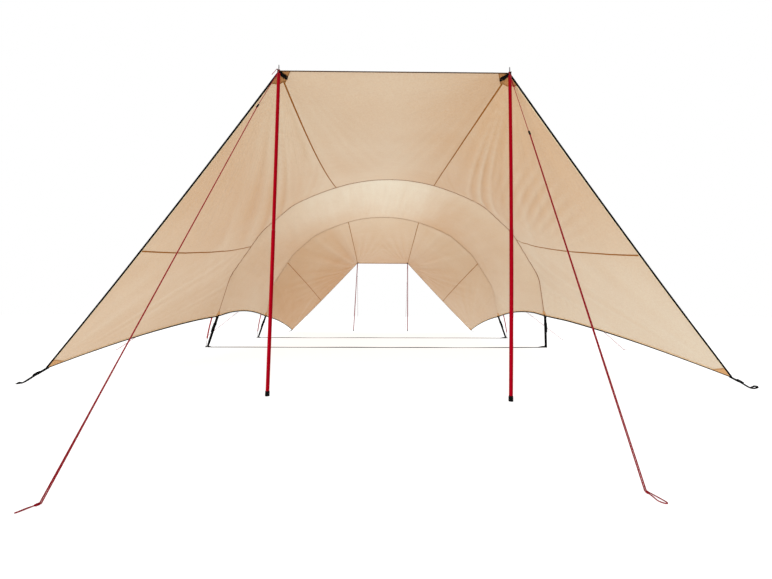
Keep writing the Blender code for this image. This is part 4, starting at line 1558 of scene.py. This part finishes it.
def make_peak_tab(end, side):
    """The webbing tab under the cloth at a peak, drawn inward to its own buckle."""
    row, inward = EDGES[end]
    way = SIDES[side]
    column = column_of(way)
    aside = columns_in(row, column - way * 0.5, TAB_REACH[0])
    back = rows_in(row + inward * 0.5, column, TAB_REACH[1])
    path = []
    for k in range(9):
        share = k / 8
        place = (row + inward * back * share, column - way * aside * share)
        path.append(on_cloth(*place, TAB_LIFT + 0.002 * share))
    along = (path[-1] - path[0]).normalized()
    across = along.cross(UPWARD).normalized()
    under = [point - UPWARD * 0.0023 for point in path]
    strips = [(path, across), (under, across)]
    webbing(f"{end}_{side}_peak_tab", strips, TAB_WEBBING, WEBBING_THICK, BLACK_WEBBING)
    ladder_lock(f"{end}_{side}_peak_buckle", path[-1] + along * 0.001, along, across, TAB_WEBBING)


# Guy lines

# Where the peg loop of a front guy lies: out along one strand, round its tip, and back along the other
GUY_LOOPS = {
    ("front", "left"): ((-0.8155, -4.678), (-0.8225, -4.6955), (-0.8262, -4.6995), (-0.8232, -4.6925),
                        (-0.8185, -4.680)),
    ("front", "right"): ((0.6400, -4.639), (0.6370, -4.662), (0.6445, -4.6735), (0.6520, -4.670),
                         (0.6500, -4.650)),
}
# The other peg loops, each as distances out from its knot and aside
REAR_LOOP = ((0.02, 0.004), (0.038, 0.006), (0.045, 0.0), (0.038, -0.006), (0.02, -0.004))
SIDE_LOOP = ((0.016, 0.005), (0.030, 0.007), (0.040, 0.0), (0.030, -0.006), (0.016, -0.003))
# How far down its guy line a slider sits, and a knot above it, and how far apart the two strands lie
GUY_SLIDER_SHARE = {"left": 0.181, "right": 0.277}
GUY_KNOT_SHARE = {"left": 0.035, "right": 0.072}
GUY_STRANDS = {"left": 0.0050, "right": 0.0038}
# How far round each other the two strands lie at the slider, where they also lie closer
GUY_TURNS = {"left": 0.35, "right": 0.0}
STRANDS_AT_SLIDER = {"left": 0.0031, "right": 0.0034}
# How far the slider draws the line aside
SLIDER_PULLS = {"left": -0.0095, "right": 0.002}
SLIDER_LEANS = {"left": -0.10, "right": 0.04}
# How far to the side of its pin a guy line starts down
GUY_STARTS = {"left": 0.007, "right": -0.009}
SIDE_SLIDER_SHARE = 0.2
SIDE_STRANDS = 0.0045
PIN_CLEARANCE = 0.0031
SLEEVE_RADIUS = 0.009
GROUND_LEVEL = UPWARD * CORD_RADIUS * 1.2


def cord_piece(name, path, replaces=()):
    return tube(name, path, CORD_RADIUS, RED_CORD, 8, replaces)


def peg_loop(ground, run, places):
    """Points round the loop at a guy line's end, from distances out from its knot and aside."""
    away = Vector((run.x, run.y, 0)).normalized()
    aside = Vector((away.y, -away.x, 0))
    return [ground + away * a + aside * b for a, b in places]


def loop_knot(name, ground, beside, ring):
    knot(f"{name}_loop_knot", (ground + beside * 0.5).lerp(ring[0], 0.3), ring[0] - ground, 0.0021)


def pin_loop(top, edge, upper, aside, sign):
    """A guy line's loop, from its upper knot round the pin and back."""
    reach = PIN_CLEARANCE + CORD_RADIUS
    close = aside * (CORD_RADIUS + 0.0002)
    loop = [upper + close, edge + close]
    for k in range(9):
        turn = pi * (k / 8)
        loop.append(top + aside * cos(turn) * reach + Vector((0, -sign * sin(turn) * reach, LOOP_LEVEL)))
    return loop + [edge - close, upper - close]


def guy_tail(end, side, top, upper):
    """The loose end of a peak's guy line. The front left one hangs down beside the pole's top."""
    sign = ENDS[end]
    way = SIDES[side]
    if (end, side) != ("front", "left"):
        return [upper, upper + Vector((way * 0.003, sign * 0.004, -0.004)),
                upper + Vector((way * 0.005, sign * 0.006, -0.014))]
    steps = ((-0.0050, sign * 0.004, LOOP_LEVEL + 0.001), (-0.0065, -0.012, 0.0050),
             (-0.0200, -0.012, -0.012), (-0.0345, -0.012, -0.029))
    return [top + Vector(step) for step in steps]


def make_end_guy(end, side):
    """A peak's guy line: a loop over the pin, a knot, and two strands from the slider to the peg loop."""
    sign = ENDS[end]
    name = f"{end}_{side}_guy"
    top = pole_top(end, side)
    edge = top + Vector((GUY_STARTS[side], sign * 0.0116, LOOP_LEVEL - 0.0016))
    ground = GUY_KNOTS[end, side] + GROUND_LEVEL
    run = ground - edge
    aside = Vector((run.y, -run.x, 0)).normalized() * sign
    beside = aside * GUY_STRANDS[side]
    upper = edge + run * GUY_KNOT_SHARE[side]
    stop = edge + run * GUY_SLIDER_SHARE[side] + RIGHTWARD * SLIDER_PULLS[side]
    cord_piece(f"{name}_loop", pin_loop(top, edge, upper, aside, sign))
    if (end, side) in GUY_LOOPS:
        ring = [Vector((x, y, CORD_RADIUS + 0.0002)) for x, y in GUY_LOOPS[end, side]]
    else:
        ring = peg_loop(ground, run, REAR_LOOP)
    path = eased_path([upper, stop, ground], 0.15)[:-1] + smooth_path([ground, *ring, ground + beside])
    for k in range(1, 21):
        share = k / 20
        closer = (STRANDS_AT_SLIDER[side] - GUY_STRANDS[side]) * smoothstep(share * 4)
        across = turned_about(aside, run.normalized(), GUY_TURNS[side] * smoothstep(share * 5))
        path.append(ground + (stop - ground) * share + across * (GUY_STRANDS[side] + closer))
    cord_piece(name, path, (name,))
    knot(f"{name}_upper_knot", upper, run, 0.0026)
    loop_knot(name, ground, beside, ring)
    lean = run.normalized() + aside * SLIDER_LEANS[side]
    slider(f"{name}_slider", (stop + path[-1]) / 2, lean, aside)
    cord_piece(f"{name}_tail", smooth_path(guy_tail(end, side, top, upper)))


def make_side_guy(end, side):
    """The guy line beside the tent, from a webbing tab where an arch pole leaves its sleeve."""
    name = f"{end}_{side}_side_guy"
    out = Vector((SIDES[side] * cos(TUCK[0]), 0, sin(TUCK[0])))
    reach = TUCK[1] + ARCH_OFFSET + SLEEVE_RADIUS + 0.0018
    start = pitched(out * reach + REARWARD * ENDS[end] * ARCH_Y)
    ground = SIDE_GUY_KNOTS[end, side] + GROUND_LEVEL
    pull = (ground - start).normalized()
    up = facing(REARWARD.cross(pull).normalized(), UPWARD)
    places = ((-0.012, -0.0015), (0, -0.0015), (0.017, -0.0022), (0.0225, 0), (0.017, 0.0022), (0, 0.0015),
              (-0.012, 0.0015))
    fold = smooth_path([start + pull * a + up * b for a, b in places], 5)
    webbing(f"{name}_tab", [(fold, REARWARD)], 0.012, 0.0016, BLACK_WEBBING)
    anchor = start + pull * 0.020
    beside = up * SIDE_STRANDS
    stop = start + (ground - start) * SIDE_SLIDER_SHARE
    ring = peg_loop(ground, pull, SIDE_LOOP)
    path = eased_path([anchor, ground], 0.15)[:-1] + smooth_path([ground, *ring, ground + beside])
    path += eased_path([ground + beside, stop + beside], 0.15)[1:]
    cord_piece(name, path, (name,))
    knot(f"{name}_upper_knot", anchor + pull * 0.012, pull, 0.0028)
    loop_knot(name, ground, beside, ring)
    slider(f"{name}_slider", stop + beside * 0.5, pull, beside)


# The floor, light and camera

CAMERA_PLACE = Vector((-0.0221, -5.5, 0.4405))
CAMERA_PITCH = 0.0722
CAMERA_YAW = 0.0144
CAMERA_ROLL = 0.0033
FOCAL_PIXELS = 343.0
PHOTO_WIDTH = 772
SENSOR_WIDTH = 36.0
FLOOR_HALF = 60.0
FLOOR_LEVEL = -0.0004


def make_camera():
    """The camera that took the photograph, as fitted to the tent's own proportions."""
    data = bpy.data.cameras.new("camera")
    data.sensor_width = SENSOR_WIDTH
    data.sensor_fit = "HORIZONTAL"
    data.lens = FOCAL_PIXELS / PHOTO_WIDTH * SENSOR_WIDTH
    data.clip_start = 0.05
    data.clip_end = 200
    item = bpy.data.objects.new("camera", data)
    turn = Matrix.Rotation(-CAMERA_YAW, 4, "Z") @ Matrix.Rotation(pi / 2 + CAMERA_PITCH, 4, "X")
    item.matrix_world = Matrix.Translation(CAMERA_PLACE) @ turn @ Matrix.Rotation(CAMERA_ROLL, 4, "Z")
    bpy.context.scene.collection.objects.link(item)
    bpy.context.scene.camera = item


def make_floor():
    """A plain pale floor that melts into the white surroundings."""
    material, _, shader = new_material("floor", (0.34, 0.34, 0.34), 0.95, specular=0.0)
    shader.inputs["Emission Color"].default_value = (1, 1, 1, 1)
    shader.inputs["Emission Strength"].default_value = 0.85
    bm = bmesh.new()
    corners = ((-1, -1), (1, -1), (1, 1), (-1, 1))
    bm.faces.new([bm.verts.new((x * FLOOR_HALF, y * FLOOR_HALF, FLOOR_LEVEL)) for x, y in corners])
    mesh = bpy.data.meshes.new("floor")
    bm.to_mesh(mesh)
    bm.free()
    mesh.materials.append(material)
    item = bpy.data.objects.new("floor", mesh)
    bpy.context.scene.collection.objects.link(item)


def area_light(name, place, target, size, power):
    """A square light that points at a target."""
    data = bpy.data.lights.new(name, "AREA")
    data.shape = "SQUARE"
    data.size = size
    data.energy = power
    item = bpy.data.objects.new(name, data)
    item.location = place
    item.rotation_mode = "QUATERNION"
    item.rotation_quaternion = (Vector(target) - Vector(place)).to_track_quat("-Z", "Y")
    bpy.context.scene.collection.objects.link(item)


def make_light():
    """Even white surroundings, with a light overhead and one from the front left."""
    world = bpy.data.worlds.new("studio")
    world.use_nodes = True
    background = world.node_tree.nodes["Background"]
    background.inputs["Color"].default_value = (1, 1, 1, 1)
    background.inputs["Strength"].default_value = 1.0
    bpy.context.scene.world = world
    area_light("overhead", (0.0, 0.5, 6.0), (0, 0, 0), 2.5, 100)
    area_light("front_left", (-5.0, -9.0, 0.9), (0.5, -1.0, 1.2), 2.0, 250)
    bpy.context.scene.view_settings.view_transform = "Standard"


def main():
    make_camera()
    make_floor()
    make_light()
    canopy = make_canopy()
    sewn = make_seams() + make_side_hem("left") + make_side_hem("right") + make_slope_hems()
    for corner in CORNERS:
        sewn += make_end_patches(*corner)
    sewn += [make_arch_patch(*corner) for corner in CORNERS]
    sewn += make_edge_bindings()
    for end in ENDS:
        sewn.append(make_arch(end))
        make_floor_strap(end)
        for side in SIDES:
            make_leg_strap(end, side)
            make_corner_strap(end, side)
            make_upright(end, side)
            make_peak_tab(end, side)
            make_end_guy(end, side)
            make_side_guy(end, side)


main()
